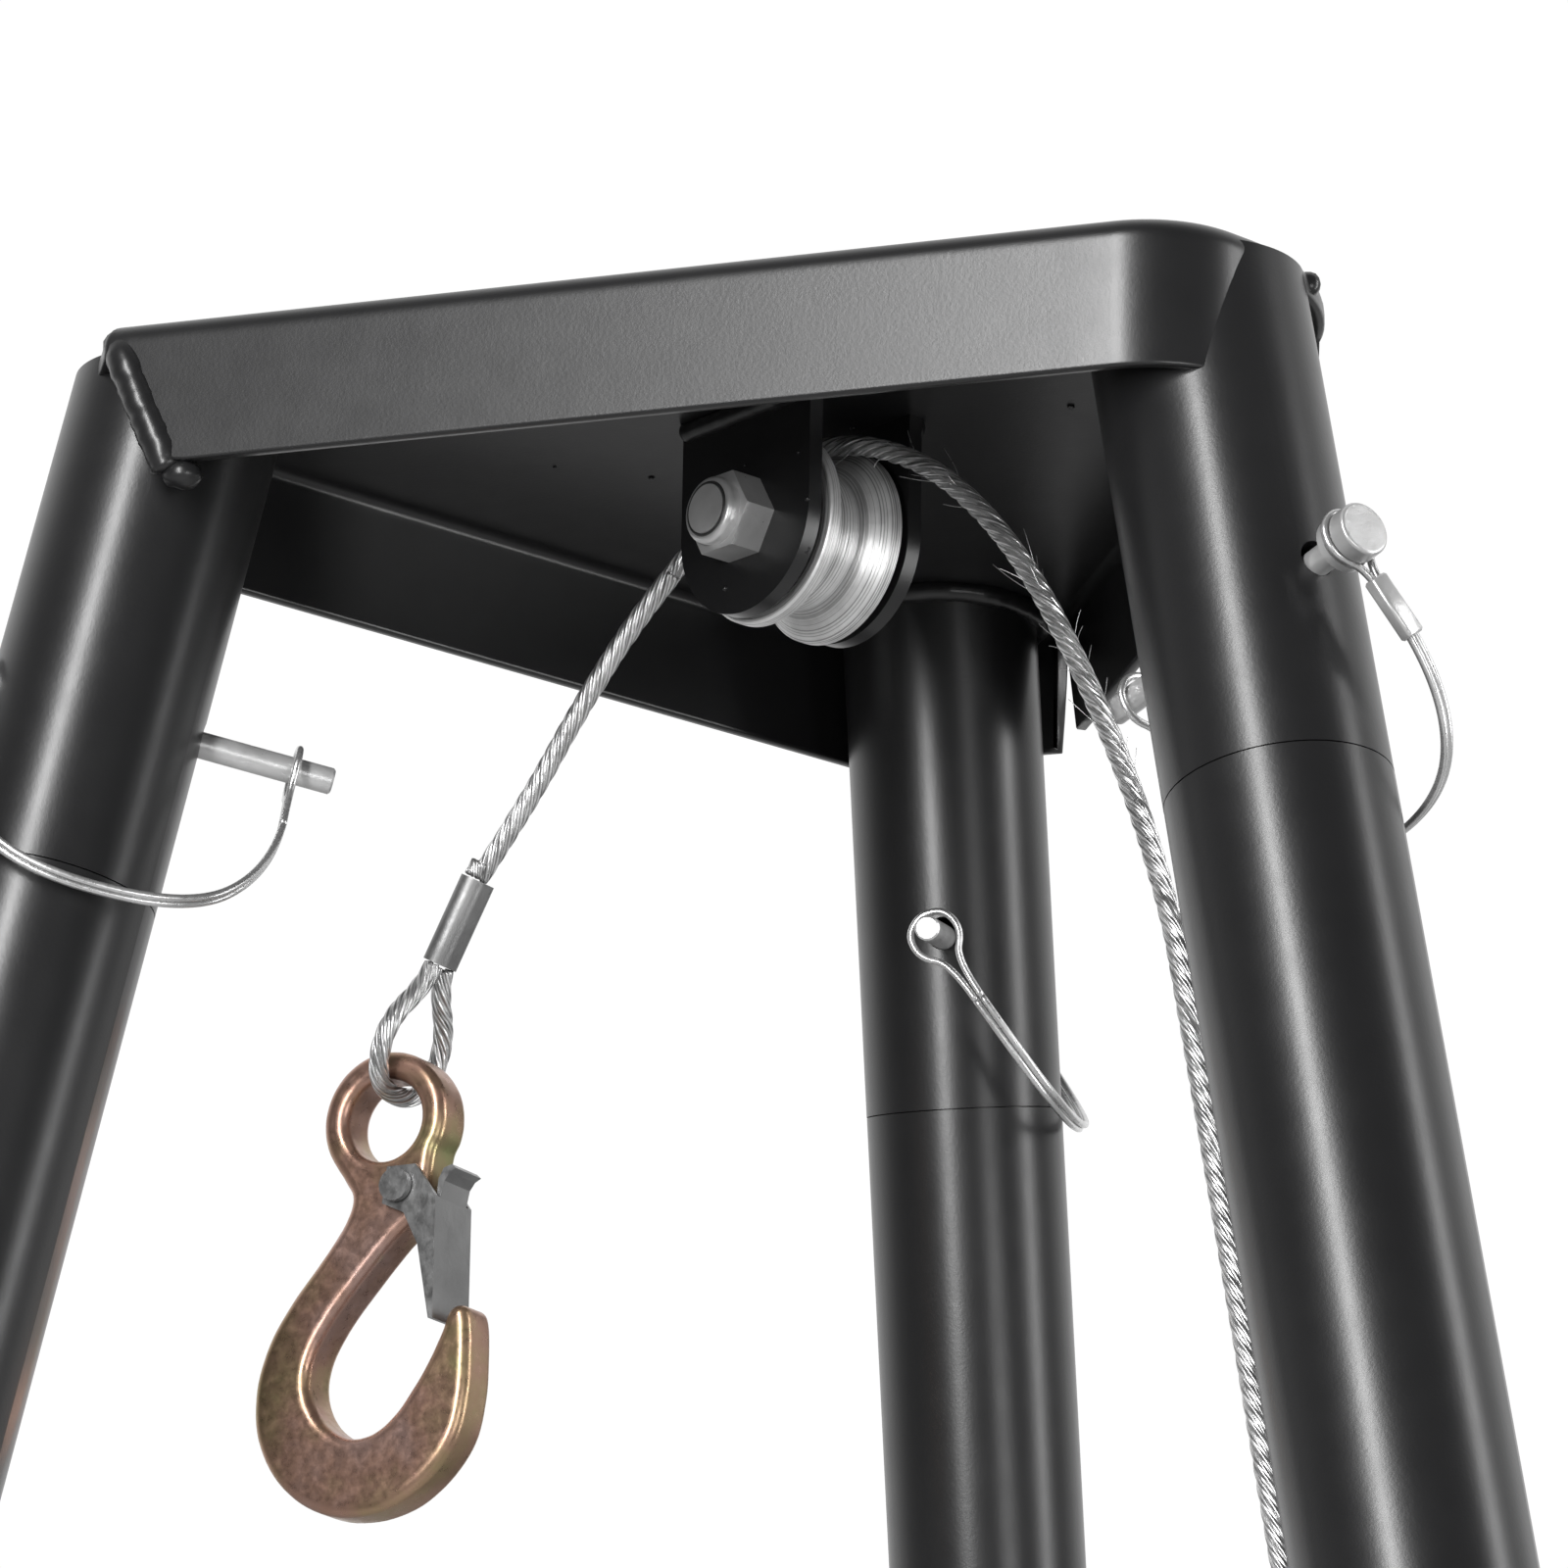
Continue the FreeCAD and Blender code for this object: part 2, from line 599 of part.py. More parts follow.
def pawl():
    """Pawl on its pivot, shown lifted clear of the wheel."""
    y = -SIDE_INNER - SIDE_T - 8.0
    outline = [(-6, -5), (5, -6), (24, -13.5), (26.5, -19), (28.0, -12), (22, -5.0), (5, 6), (-6, 5), (-24, 9), (-26, 4)]
    corners = [V(x, 0, z) for x, z in outline]
    bar = Part.Face(Part.makePolygon(corners + [corners[0]])).extrude(V(0, 5.5, 0))
    bar = bar.fuse(cylinder(7.0, 5.5, V(0, 0, 0), V(0, 1, 0)))
    bar = bar.cut(cylinder(3.05, 8, V(0, -1, 0), V(0, 1, 0)))
    bar.translate(V(DRUM_OFFSET + 2, y, 44))
    return placed(bar.removeSplitter(), *winch_frame_axes())


def crank_arm():
    """Flat crank with a boss at the shaft and the grip's spindle."""
    y = 44.0
    bar = Part.makeBox(CRANK_LENGTH, 5.0, 24.0, V(0, y, -12))
    bar = bar.fuse(cylinder(15.0, 5.0, V(0, y, 0), V(0, 1, 0)))
    bar = bar.fuse(cylinder(12.0, 5.0, V(CRANK_LENGTH, y, 0), V(0, 1, 0)))
    boss = cylinder(11.0, 9.0, V(0, y - 9.0, 0), V(0, 1, 0))
    bar = bar.fuse(boss)
    bar = bar.cut(cylinder(6.04, 40, V(0, y - 15, 0), V(0, 1, 0)))
    spindle = cylinder(5.0, 112, V(CRANK_LENGTH, y, 0), V(0, 1, 0))
    cap = cylinder(8.0, 4, V(CRANK_LENGTH, y + 110, 0), V(0, 1, 0))
    return placed(bar.fuse(spindle).fuse(cap).removeSplitter(), *crank_frame())


def crank_frame():
    """Drum frame turned so the crank points down and inward."""
    origin, x_dir, y_dir, z_dir = drum_frame()
    a = math.radians(-55)
    x_new = x_dir * math.cos(a) + z_dir * math.sin(a)
    return origin, x_new, y_dir, x_new.cross(y_dir)


def crank_grip():
    """Turning grip on the crank's spindle."""
    profile = [(5.06, 0), (11, 0), (13, 4), (12, 20), (14.5, 50), (14.0, 80), (15.5, 92), (12.5, 99), (5.06, 99)]
    corners = [V(r, y, 0) for r, y in profile]
    body = Part.Face(Part.makePolygon(corners + [corners[0]])).revolve(V(0, 0, 0), V(0, 1, 0), 360)
    body.translate(V(CRANK_LENGTH, 44.0 + 5.0 + 0.5, 0))
    return placed(body, *crank_frame())


def rope_wound():
    """Wound rope on the drum, one ridge per turn."""
    width = 2 * DRUM_HALF - 1.0
    pitch = width / WOUND_TURNS
    points = [(DRUM_CORE_R + 0.05, -width / 2), (WOUND_R, -width / 2)]
    for k in range(WOUND_TURNS):
        y = -width / 2 + pitch * (k + 0.5)
        for a in (-60, -30, 0, 30, 60):
            r = math.radians(a)
            points.append((WOUND_R + ROPE_R * math.cos(r) - 0.12, y + ROPE_R * math.sin(r)))
    points += [(WOUND_R, width / 2), (DRUM_CORE_R + 0.05, width / 2)]
    corners = [V(r, y, 0) for r, y in points]
    body = Part.Face(Part.makePolygon(corners + [corners[0]])).revolve(V(0, 0, 0), V(0, 1, 0), 360)
    return placed(body, *drum_frame())


# ---------------------------------------------------------------- rope and hook
def rise_points():
    """Route of the standing rope, winch to just past the sheave."""
    frame = leg_frame("right", 0)
    lay = DRUM_OFFSET - LAY_R - 0.1
    points = [to_row(frame, lay, 0, -s) for s in (WINCH_STATION, 172.0)]
    for rho, z in ((130.0, -134.0), (110.5, -92.5), (83.5, -49.0), (50.0, -19.5), (11.0, -7.9)):
        points.append(in_plane(-30, rho, z))
    points.append(fall_point(19.5, -24.4))
    points.append((fall_point(19.5, -24.4) + fall_point(40.0, -44.5)) * 0.5)
    return points


def fall_point(distance, z):
    """Point in the vertical plane in which the hook end hangs."""
    return in_plane(FALL_AZIMUTH, distance, z, heading(-30) * FALL_START_RHO)


def fall_points():
    """Route of the hook end from past the sheave to the ferrule."""
    first = (fall_point(19.5, -24.4) + fall_point(40.0, -44.5)) * 0.5
    rest = ((40.0, -44.5), (56.5, -66.5), (69.5, -87.0), (83.1, -104.3))
    return [first] + [fall_point(d, z) for d, z in rest]


def ferrule_frame():
    """Frame at the ferrule's lower end: Z up along it, X to the hook's face."""
    low = fall_point(93.7, -124.7)
    z_dir = (fall_point(83.1, -104.3) - low).normalize()
    face = heading(260)
    y_dir = z_dir.cross(face).normalize()
    return low, y_dir.cross(z_dir), y_dir, z_dir


def eye_frame():
    """Frame of the rope eye: X to the hook's face, Z up its middle, origin at its lowest point."""
    low = hook_centre() + UP * 7.1
    z_dir = (fall_point(93.7, -124.7) - low).normalize()
    face = heading(260)
    y_dir = z_dir.cross(face).normalize()
    return low, y_dir.cross(z_dir), y_dir, z_dir


def hook_centre():
    """Centre of the hook's eye."""
    return fall_point(105.1, -163.2)


def ferrule():
    """Oval pressed sleeve."""
    body = Part.makeCylinder(3.4, FERRULE_LENGTH)
    for side in (-1, 1):
        body = body.fuse(Part.makeCylinder(3.4, FERRULE_LENGTH, V(side * 1.6, 0, 0)))
    box = Part.makeBox(3.2, 6.8, FERRULE_LENGTH, V(-1.6, -3.4, 0))
    body = body.fuse(box).removeSplitter()
    return placed(body, *ferrule_frame())


def rope_eye():
    """Rope loop through the hook's eye."""
    origin, x_dir, y_dir, z_dir = eye_frame()
    top = (fall_point(93.7, -124.7) - origin).Length - 0.7
    half = [(2.52, top), (3.4, top - 5.0), (12.3, 17.5), (13.0, 7.5), (7.2, 0.0)]
    both = half + [(-x, z) for x, z in reversed(half)]
    points = [to_row((origin, x_dir, y_dir, z_dir), x, 0, z) for x, z in both]
    return round_bar(rounded_path(points, None, "rope_eye"), ROPE_R, "rope_eye")


def hook_frame():
    """Hook frame: X to the tip side, Y down, Z across the thickness."""
    x_dir = heading(HOOK_AZIMUTH)
    tilt = math.radians(3.0)
    down = (UP * -math.cos(tilt) - x_dir * math.sin(tilt)).normalize()
    x_dir = (x_dir * math.cos(tilt) - UP * math.sin(tilt)).normalize()
    return hook_centre(), x_dir, down, x_dir.cross(down)


def spline(points):
    """Smooth edge through points."""
    curve = Part.BSplineCurve()
    curve.interpolate([V(x, y, 0) for x, y in points])
    return curve.toShape()


def hook_body():
    """Forged eye hook."""
    outer = [(-9.5, 12.0), (-7.4, 18.0), (-9.0, 25.0), (-14.5, 34.5), (-21.5, 43.5), (-27.3, 53.5), (-30.2, 65.0),
             (-28.6, 77.5), (-22.0, 88.0), (-11.5, 94.8), (0.0, 96.6), (11.5, 93.8), (20.8, 87.0), (26.8, 78.0),
             (28.8, 68.0), (28.6, 57.0), (27.6, 49.0)]
    nose = [(27.6, 49.0), (25.5, 46.2), (22.4, 47.6), (21.0, 52.3)]
    inner = [(21.0, 52.3), (17.6, 59.5), (13.6, 66.5), (8.6, 73.2), (2.6, 77.2), (-4.0, 77.4), (-10.6, 73.6),
             (-14.8, 67.0), (-15.4, 59.6), (-11.8, 51.4), (-4.2, 41.0), (4.4, 30.6), (11.2, 24.6), (13.4, 18.2),
             (11.0, 11.0)]
    edges = [spline(outer), spline(nose), spline(inner), Part.makeLine(V(11.0, 11.0, 0), V(-9.5, 12.0, 0))]
    body = Part.Face(Part.Wire(edges)).extrude(V(0, 0, 2 * HOOK_HALF_T))
    body.translate(V(0, 0, -HOOK_HALF_T))
    eye = Part.makeCylinder(EYE_R, 2 * HOOK_HALF_T, V(0, 0, -HOOK_HALF_T))
    shape = body.fuse(eye).removeSplitter()
    shape = shape.cut(Part.makeCylinder(EYE_HOLE_R, 30, V(0, 0, -15)))
    flat = [e for e in shape.Edges if abs(abs(e.CenterOfMass.z) - HOOK_HALF_T) < 1e-3]
    shape = rounded_edges(shape, flat, (3.0, 2.6, 2.0, 1.2))
    shape = shape.cut(Part.makeCylinder(2.6, 40, V(7.5, 17.5, -20)))
    return placed(shape, *hook_frame())


def rounded_edges(shape, edges, radii):
    """Fillet with the largest radius that builds."""
    for radius in radii:
        try:
            out = shape.makeFillet(radius, edges)
        except Part.OCCError:
            continue
        if out.isValid() and out.Volume > 0:
            print("edge radius", radius)
            return out
    return shape


def hook_latch():
    """Sheet-steel latch with two cheeks and a curled thumb tab."""
    cheek = [(4.0, 12.6), (12.0, 12.2), (18.2, 20.2), (19.9, 50.0), (18.7, 50.0), (14.2, 32.0), (9.6, 24.0), (3.4, 21.6)]
    solids = []
    for z in (-8.5, 7.3):
        corners = [V(x, y, z) for x, y in cheek]
        plate = Part.Face(Part.makePolygon(corners + [corners[0]])).extrude(V(0, 0, 1.2))
        plate = plate.cut(Part.makeCylinder(2.56, 40, V(7.5, 17.5, -20)))
        solids.append(plate)
    web = [(17.0, 20.3), (18.2, 20.2), (19.9, 50.0), (18.7, 50.0)]
    corners = [V(x, y, -8.5) for x, y in web]
    shape = Part.Face(Part.makePolygon(corners + [corners[0]])).extrude(V(0, 0, 17.0))
    tab = [(17.0, 20.3), (17.2, 15.6), (18.4, 13.0), (20.6, 12.2), (21.8, 13.2), (20.2, 14.2), (18.9, 16.2), (18.2, 20.6)]
    corners = [V(x, y, -6.0) for x, y in tab]
    shape = shape.fuse(Part.Face(Part.makePolygon(corners + [corners[0]])).extrude(V(0, 0, 12.0)))
    for solid in solids:
        shape = shape.fuse(solid)
    return placed(shape.removeSplitter(), *hook_frame())


def latch_rivet():
    """Pivot rivet of the latch."""
    shape = Part.makeCylinder(2.5, 17.8, V(7.5, 17.5, -8.9))
    for z in (-10.7, 8.9):
        head = Part.makeCylinder(4.0, 1.8, V(7.5, 17.5, z))
        shape = shape.fuse(head)
    return placed(shape.removeSplitter(), *hook_frame())


def latch_spring():
    """Torsion spring coil beside the latch pivot."""
    helix = Part.makeCompound([Part.makeTorus(3.4, 0.3, V(7.5, 17.5, z)) for z in (-6.62, 6.62)])
    return placed(helix, *hook_frame())


# ---------------------------------------------------------------- write
def grouped(build, station):
    """One compound from the same part on all legs."""
    return Part.makeCompound([build(leg, station) for leg in LEG_AZIMUTH])


def build_parts():
    """Every node and its shape."""
    mid_pin = MID_JOINT - MID_PIN_ABOVE
    parts = {
        "head_plate": head_plate(),
        "weld_beads": weld_beads(),
        "bracket_ear_near": ear(-1),
        "bracket_ear_far": ear(1),
        "pulley_bolt": pulley_bolt(),
        "pulley_nut": pulley_nut(),
        "pulley_washers": pulley_washers(),
        "sheave": sheave(),
        "sheave_bushing": sheave_bushing(),
        "head_lock_pins": grouped(lock_pin, PIN_STATION),
        "mid_lock_pins": grouped(lock_pin, mid_pin),
        "winch_frame": winch_frame(),
        "winch_u_bolts": winch_u_bolts(),
        "winch_drum": winch_drum(),
        "drum_shaft": drum_shaft(),
        "ratchet_wheel": ratchet_wheel(),
        "pawl": pawl(),
        "crank_arm": crank_arm(),
        "crank_grip": crank_grip(),
        "rope_wound": rope_wound(),
        "rope_rise": round_bar(rounded_path(rise_points(), None, "rope_rise"), ROPE_R, "rope_rise"),
        "rope_fall": round_bar(rounded_path(fall_points(), None, "rope_fall"), ROPE_R, "rope_fall"),
        "rope_eye": rope_eye(),
        "ferrule": ferrule(),
        "hook_body": hook_body(),
        "hook_latch": hook_latch(),
        "latch_rivet": latch_rivet(),
        "latch_spring": latch_spring(),
    }
    floor_station = (HEAD_TOP + 60) / math.cos(SPLAY)
    for leg in LEG_AZIMUTH:
        parts["socket_" + leg] = socket(leg)
        parts["upper_leg_" + leg] = leg_tube(leg, SOCKET_LENGTH + 0.3, MID_JOINT, SPIGOT_TOP, (PIN_STATION, mid_pin))
        parts["lower_leg_" + leg] = leg_tube(leg, MID_JOINT + 0.3, floor_station, MID_JOINT - MID_SPIGOT, (mid_pin,), True)
        parts["foot_pad_" + leg] = foot_pad(leg)
        parts["head_bail_" + leg] = bail(leg, PIN_STATION)
        parts["mid_bail_" + leg] = bail(leg, mid_pin)
    return parts


def main():
    """Build and write every node."""
    os.makedirs("parts", exist_ok=True)
    for name, shape in build_parts().items():
        if not shape.isValid():
            print("INVALID", name)
        if any(s.Volume <= 0 for s in shape.Solids) or not shape.Solids:
            print("NO VOLUME", name)
        shape.exportStep("parts/" + name + ".step")
        print(name, len(shape.Solids), round(shape.Volume))


main()
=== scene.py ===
import json
import math
import random

import bpy
from mathutils import Matrix, Vector, noise

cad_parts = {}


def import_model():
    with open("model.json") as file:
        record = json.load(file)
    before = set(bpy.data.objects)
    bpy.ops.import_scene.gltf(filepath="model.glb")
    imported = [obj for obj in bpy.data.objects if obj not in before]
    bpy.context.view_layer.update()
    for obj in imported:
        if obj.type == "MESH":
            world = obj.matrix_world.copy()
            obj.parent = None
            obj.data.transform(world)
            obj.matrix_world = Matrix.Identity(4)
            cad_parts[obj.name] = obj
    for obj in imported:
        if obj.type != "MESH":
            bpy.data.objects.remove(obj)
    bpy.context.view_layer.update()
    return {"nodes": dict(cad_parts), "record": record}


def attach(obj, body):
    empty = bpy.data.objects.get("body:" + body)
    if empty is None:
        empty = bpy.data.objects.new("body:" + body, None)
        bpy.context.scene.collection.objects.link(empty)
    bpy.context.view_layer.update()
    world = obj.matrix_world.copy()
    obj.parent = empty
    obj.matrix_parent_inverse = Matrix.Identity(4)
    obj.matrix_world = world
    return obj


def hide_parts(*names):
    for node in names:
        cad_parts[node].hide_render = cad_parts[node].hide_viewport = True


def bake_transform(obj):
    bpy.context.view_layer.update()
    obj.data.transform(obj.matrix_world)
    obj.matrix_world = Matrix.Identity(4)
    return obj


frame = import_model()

nodes = frame["nodes"]
scene = bpy.context.scene

# ---------------------------------------------------------------- shared numbers (metres)
HEAD_TOP = 2.300
AXIS_Y = -0.15725                           # the head's middle
SPLAY = math.radians(11.73)                 # a leg's lean from upright
LEG_TOP = 0.1413                            # from the head's middle to the top of a leg's axis
LEG_AZIMUTH = {"right": -30.0, "left": 210.0, "back": 90.0}
ROPE_D = 0.005
WINCH_STATION = 0.950                       # down the right-hand leg
DRUM_OUT = 0.072                            # from that leg's axis to the drum's
ROPE_OUT = 0.0349                           # from that leg's axis to the rope beside it
SHEAVE_OUT, SHEAVE_DROP = 0.0115, 0.0322    # the sheave's middle, from the head's
ORIGIN = Vector((0, AXIS_Y, HEAD_TOP))


def heading(degrees):
    a = math.radians(degrees)
    return Vector((math.cos(a), math.sin(a), 0))


def leg_axes(leg):
    """Top of a leg's axis, with x inwards, y across and z up along the leg."""
    out = heading(LEG_AZIMUTH[leg])
    down = out * math.sin(SPLAY) - Vector((0, 0, math.cos(SPLAY)))
    z = -down
    x = out * -math.cos(SPLAY) - Vector((0, 0, math.sin(SPLAY)))
    return ORIGIN + out * LEG_TOP, x, z.cross(x), z


# ---------------------------------------------------------------- camera
CAMERA_AT = ORIGIN + Vector((0.4600, -1.3795, -0.5415))
CAMERA_TURN = (18.26, 17.21, 0.90)          # yaw, pitch and roll in degrees
LENS, SENSOR = 147.1, 36.0                  # millimetres


def camera():
    """Long lens in front of the head and below it; returns its forward and right directions."""
    data = bpy.data.cameras.new("camera")
    data.sensor_width = SENSOR
    data.lens = LENS
    data.clip_end = 60
    data.clip_start = 0.05
    obj = bpy.data.objects.new("camera", data)
    bpy.context.collection.objects.link(obj)
    yaw, pitch, roll = (math.radians(a) for a in CAMERA_TURN)
    forward = Vector((-math.sin(yaw) * math.cos(pitch), math.cos(yaw) * math.cos(pitch), math.sin(pitch)))
    level = Vector((math.cos(yaw), math.sin(yaw), 0))
    above = level.cross(forward)
    right = level * math.cos(roll) + above * math.sin(roll)
    up = above * math.cos(roll) - level * math.sin(roll)
    m = Matrix((right, up, -forward)).transposed().to_4x4()
    m.translation = CAMERA_AT
    obj.matrix_world = m
    scene.camera = obj
    return forward, right


FORWARD, RIGHT = camera()


# ---------------------------------------------------------------- mesh helpers
def mesh_object(name, verts, faces, smooth=True, uvs=None):
    mesh = bpy.data.meshes.new(name)
    mesh.from_pydata([tuple(v) for v in verts], [], faces)
    if uvs is not None:
        layer = mesh.uv_layers.new(name="run")
        for poly in mesh.polygons:
            for li, vi in zip(poly.loop_indices, poly.vertices):
                layer.data[li].uv = uvs[vi]
    mesh.update()
    mesh.polygons.foreach_set("use_smooth", [smooth] * len(mesh.polygons))
    obj = bpy.data.objects.new(name, mesh)
    bpy.context.collection.objects.link(obj)
    return obj


def ring_faces(faces, base, rings, n, flip=False):
    """Quads between rings of n points each; base is the first point's number."""
    for j in range(rings - 1):
        low, high = base + j * n, base + (j + 1) * n
        for k in range(n):
            k2 = (k + 1) % n
            if flip:
                faces.append((low + k, high + k, high + k2, low + k2))
            else:
                faces.append((low + k, low + k2, high + k2, high + k))


def end_faces(faces, base, rings, n):
    """The flat ends of a closed run of rings."""
    last = base + (rings - 1) * n
    faces.append(tuple(base + k for k in reversed(range(n))))
    faces.append(tuple(last + k for k in range(n)))


def frames_along(points):
    """Tangent and two normals at each point, turned as little as the run allows."""
    last = len(points) - 1
    tangents = [(points[min(i + 1, last)] - points[max(i - 1, 0)]).normalized() for i in range(last + 1)]
    t0 = tangents[0]
    ref = Vector((0, 0, 1)) if abs(t0.z) < 0.9 else Vector((1, 0, 0))
    normal = t0.cross(ref).normalized()
    out = []
    for t in tangents:
        normal = (normal - t * normal.dot(t)).normalized()
        out.append((t, normal, t.cross(normal)))
    return out


def tube_parts(points, radius, sides, verts, faces, uvs):
    """Adds a round bar along the points; UV is (around, metres along)."""
    base = len(verts)
    run = 0.0
    for i, (p, (_, n, b)) in enumerate(zip(points, frames_along(points))):
        if i:
            run += (p - points[i - 1]).length
        for k in range(sides):
            a = 2 * math.pi * k / sides
            verts.append(p + n * (radius * math.cos(a)) + b * (radius * math.sin(a)))
            uvs.append((k / sides, run))
    ring_faces(faces, base, len(points), sides)
    end_faces(faces, base, len(points), sides)


def spline_points(name, control, step):
    """Even points along a quadratic curve that starts and ends at its outer control points."""
    curve = bpy.data.curves.new(name, "CURVE")
    curve.dimensions = "3D"
    curve.resolution_u = 24
    s = curve.splines.new("NURBS")
    s.points.add(len(control) - 1)
    for p, c in zip(s.points, control):
        p.co = (c[0], c[1], c[2], 1.0)
    s.order_u = 3
    s.use_endpoint_u = True
    obj = bpy.data.objects.new(name, curve)
    bpy.context.collection.objects.link(obj)
    bpy.context.view_layer.update()
    mesh = bpy.data.meshes.new_from_object(obj)
    raw = [v.co.copy() for v in mesh.vertices]
    bpy.data.objects.remove(obj)
    bpy.data.curves.remove(curve)
    return even(raw, step)


def route_length(points):
    return sum((points[i + 1] - points[i]).length for i in range(len(points) - 1))


def even(raw, step):
    """The same run with points at one distance, as near to the step as divides it evenly."""
    total = route_length(raw)
    count = max(2, int(total / step))
    out = [raw[0]]
    want = total / count
    done = 0.0
    i = 0
    for k in range(1, count):
        target = want * k
        while done + (raw[i + 1] - raw[i]).length < target:
            done += (raw[i + 1] - raw[i]).length
            i += 1
        seg = raw[i + 1] - raw[i]
        out.append(raw[i] + seg * ((target - done) / seg.length))
    out.append(raw[-1])
    return out


STRANDS = 6
STRAND_SHARE = 0.41                         # a strand's radius in the rope's radius


def strands(name, points, diameter, lay=0.029, sides=8, phase=0.0):
    """Rope of helical strands round a core; lay is the length of one turn."""
    rs = diameter / 2 * STRAND_SHARE
    ring = diameter / 2 - rs
    axes = frames_along(points)
    verts, faces, uvs = [], [], []
    run = [0.0]
    for i in range(1, len(points)):
        run.append(run[-1] + (points[i] - points[i - 1]).length)
    for k in range(STRANDS):
        line = []
        for p, at, (_, n, b) in zip(points, run, axes):
            a = 2 * math.pi * (k / STRANDS - at / lay) + phase
            line.append(p + n * (ring * math.cos(a)) + b * (ring * math.sin(a)))
        tube_parts(line, rs, sides, verts, faces, uvs)
    tube_parts(points, rs, 6, verts, faces, uvs)
    return mesh_object(name, verts, faces, True, uvs)


# ---------------------------------------------------------------- rope routes (metres)
# the hook's side of the rope hangs in an upright plane: (distance along it, height from the head's top)
HANG_AZIMUTH = 168.0
HANG_START = heading(-30) * 0.004
OFF_SHEAVE = (0.0195, -0.0244)
PAST_SHEAVE = (0.0400, -0.0445)
FERRULE_TOP = (0.0831, -0.1043)
FERRULE_END = (0.0937, -0.1247)
HOOK_EYE = (0.1051, -0.1632)


def in_plane(azimuth, rho, z, start=Vector((0, 0, 0))):
    """Place at a distance and height from the head's top, in an upright plane."""
    p = start + heading(azimuth) * rho
    return Vector((p.x, p.y + AXIS_Y, z + HEAD_TOP))


def fall_point(distance, z):
    return in_plane(HANG_AZIMUTH, distance, z, HANG_START)


def rope_split():
    """Where the stretch from the winch ends and the stretch to the hook starts."""
    return (fall_point(*OFF_SHEAVE) + fall_point(*PAST_SHEAVE)) * 0.5


def rise_route():
    """From the drum up along the leg, then in an arch over the sheave."""
    top, x, _, z = leg_axes("right")
    points = [top + x * ROPE_OUT - z * s for s in (WINCH_STATION, 0.172)]
    for rho, height in ((0.1300, -0.1340), (0.1105, -0.0925), (0.0835, -0.0490),
                        (0.0500, -0.0195), (0.0110, -0.0079)):
        points.append(in_plane(-30, rho, height))
    return points + [fall_point(*OFF_SHEAVE), rope_split()]


def fall_route():
    rest = (PAST_SHEAVE, (0.0565, -0.0665), (0.0695, -0.0870), FERRULE_TOP)
    return [rope_split()] + [fall_point(d, h) for d, h in rest]


rise_line = spline_points("rise_line", rise_route(), 0.0012)
fall_line = spline_points("fall_line", fall_route(), 0.0008)

# ---------------------------------------------------------------- materials
def new_material(name):
    mat = bpy.data.materials.new(name)
    mat.use_nodes = True
    tree = mat.node_tree
    tree.nodes.clear()
    out = tree.nodes.new("ShaderNodeOutputMaterial")
    bsdf = tree.nodes.new("ShaderNodeBsdfPrincipled")
    tree.links.new(bsdf.outputs["BSDF"], out.inputs["Surface"])
    return mat, tree, bsdf


def connect(tree, socket, value):
    """Links another node's output into an input, or sets the input to a plain value."""
    if isinstance(value, bpy.types.NodeSocket):
        tree.links.new(value, socket)
    else:
        socket.default_value = value


def plug(tree, target, **values):
    """Connects inputs by name, written with _ for a space."""
    for key, value in values.items():
        connect(tree, target.inputs[key.replace("_", " ")], value)


def maths(tree, operation, *values, kind="ShaderNodeMath", output="Value"):
    n = tree.nodes.new(kind)
    n.operation = operation
    for socket, value in zip(n.inputs, values):
        connect(tree, socket, value)
    return n.outputs[output]


def multiply(tree, share, first, second):
    """One colour darkened by another."""
    mix = tree.nodes.new("ShaderNodeMixRGB")
    mix.blend_type = "MULTIPLY"
    plug(tree, mix, Fac=share, Color1=first, Color2=second)
    return mix.outputs["Color"]


def coords(tree):
    return tree.nodes.new("ShaderNodeTexCoord").outputs["Object"]


def noise_tex(tree, vector, scale, detail=3.0, rough=0.5):
    n = tree.nodes.new("ShaderNodeTexNoise")
    plug(tree, n, Scale=scale, Detail=detail, Roughness=rough, Vector=vector)
    return n.outputs["Fac"]


def ramp(tree, value, stops):
    r = tree.nodes.new("ShaderNodeValToRGB")
    els = r.color_ramp.elements
    while len(els) < len(stops):
        els.new(0.5)
    for e, (pos, col) in zip(els, stops):
        e.position = pos
        e.color = (*col, 1)
    tree.links.new(value, r.inputs["Fac"])
    return r.outputs["Color"]


def grey(v):
    return (v, v, v)


def grey_ramp(tree, value, *stops):
    return ramp(tree, value, [(pos, grey(v)) for pos, v in stops])


def bump(tree, height, strength, distance, normal=None):
    b = tree.nodes.new("ShaderNodeBump")
    plug(tree, b, Strength=strength, Distance=distance, Height=height)
    if normal is not None:
        tree.links.new(normal, b.inputs["Normal"])
    return b.outputs["Normal"]


def powder_coat():
    """Satin black with a fine orange peel."""
    mat, tree, bsdf = new_material("powder_coat")
    v = coords(tree)
    peel = noise_tex(tree, v, 950, 2.0)
    wave = noise_tex(tree, v, 130, 2.0)
    patch = noise_tex(tree, v, 9, 4.0, 0.6)
    specks = noise_tex(tree, v, 2600, 1.0)
    relief = bump(tree, wave, 0.02, 0.0006, bump(tree, peel, 0.09, 0.0002))
    plug(tree, bsdf, Specular_IOR_Level=0.55, Normal=bump(tree, specks, 0.05, 0.0002, relief),
         Base_Color=ramp(tree, patch, [(0.3, (0.0085, 0.0085, 0.009)), (0.7, (0.0125, 0.0125, 0.013))]),
         Roughness=grey_ramp(tree, wave, (0.25, 0.30), (0.75, 0.33)))
    return mat


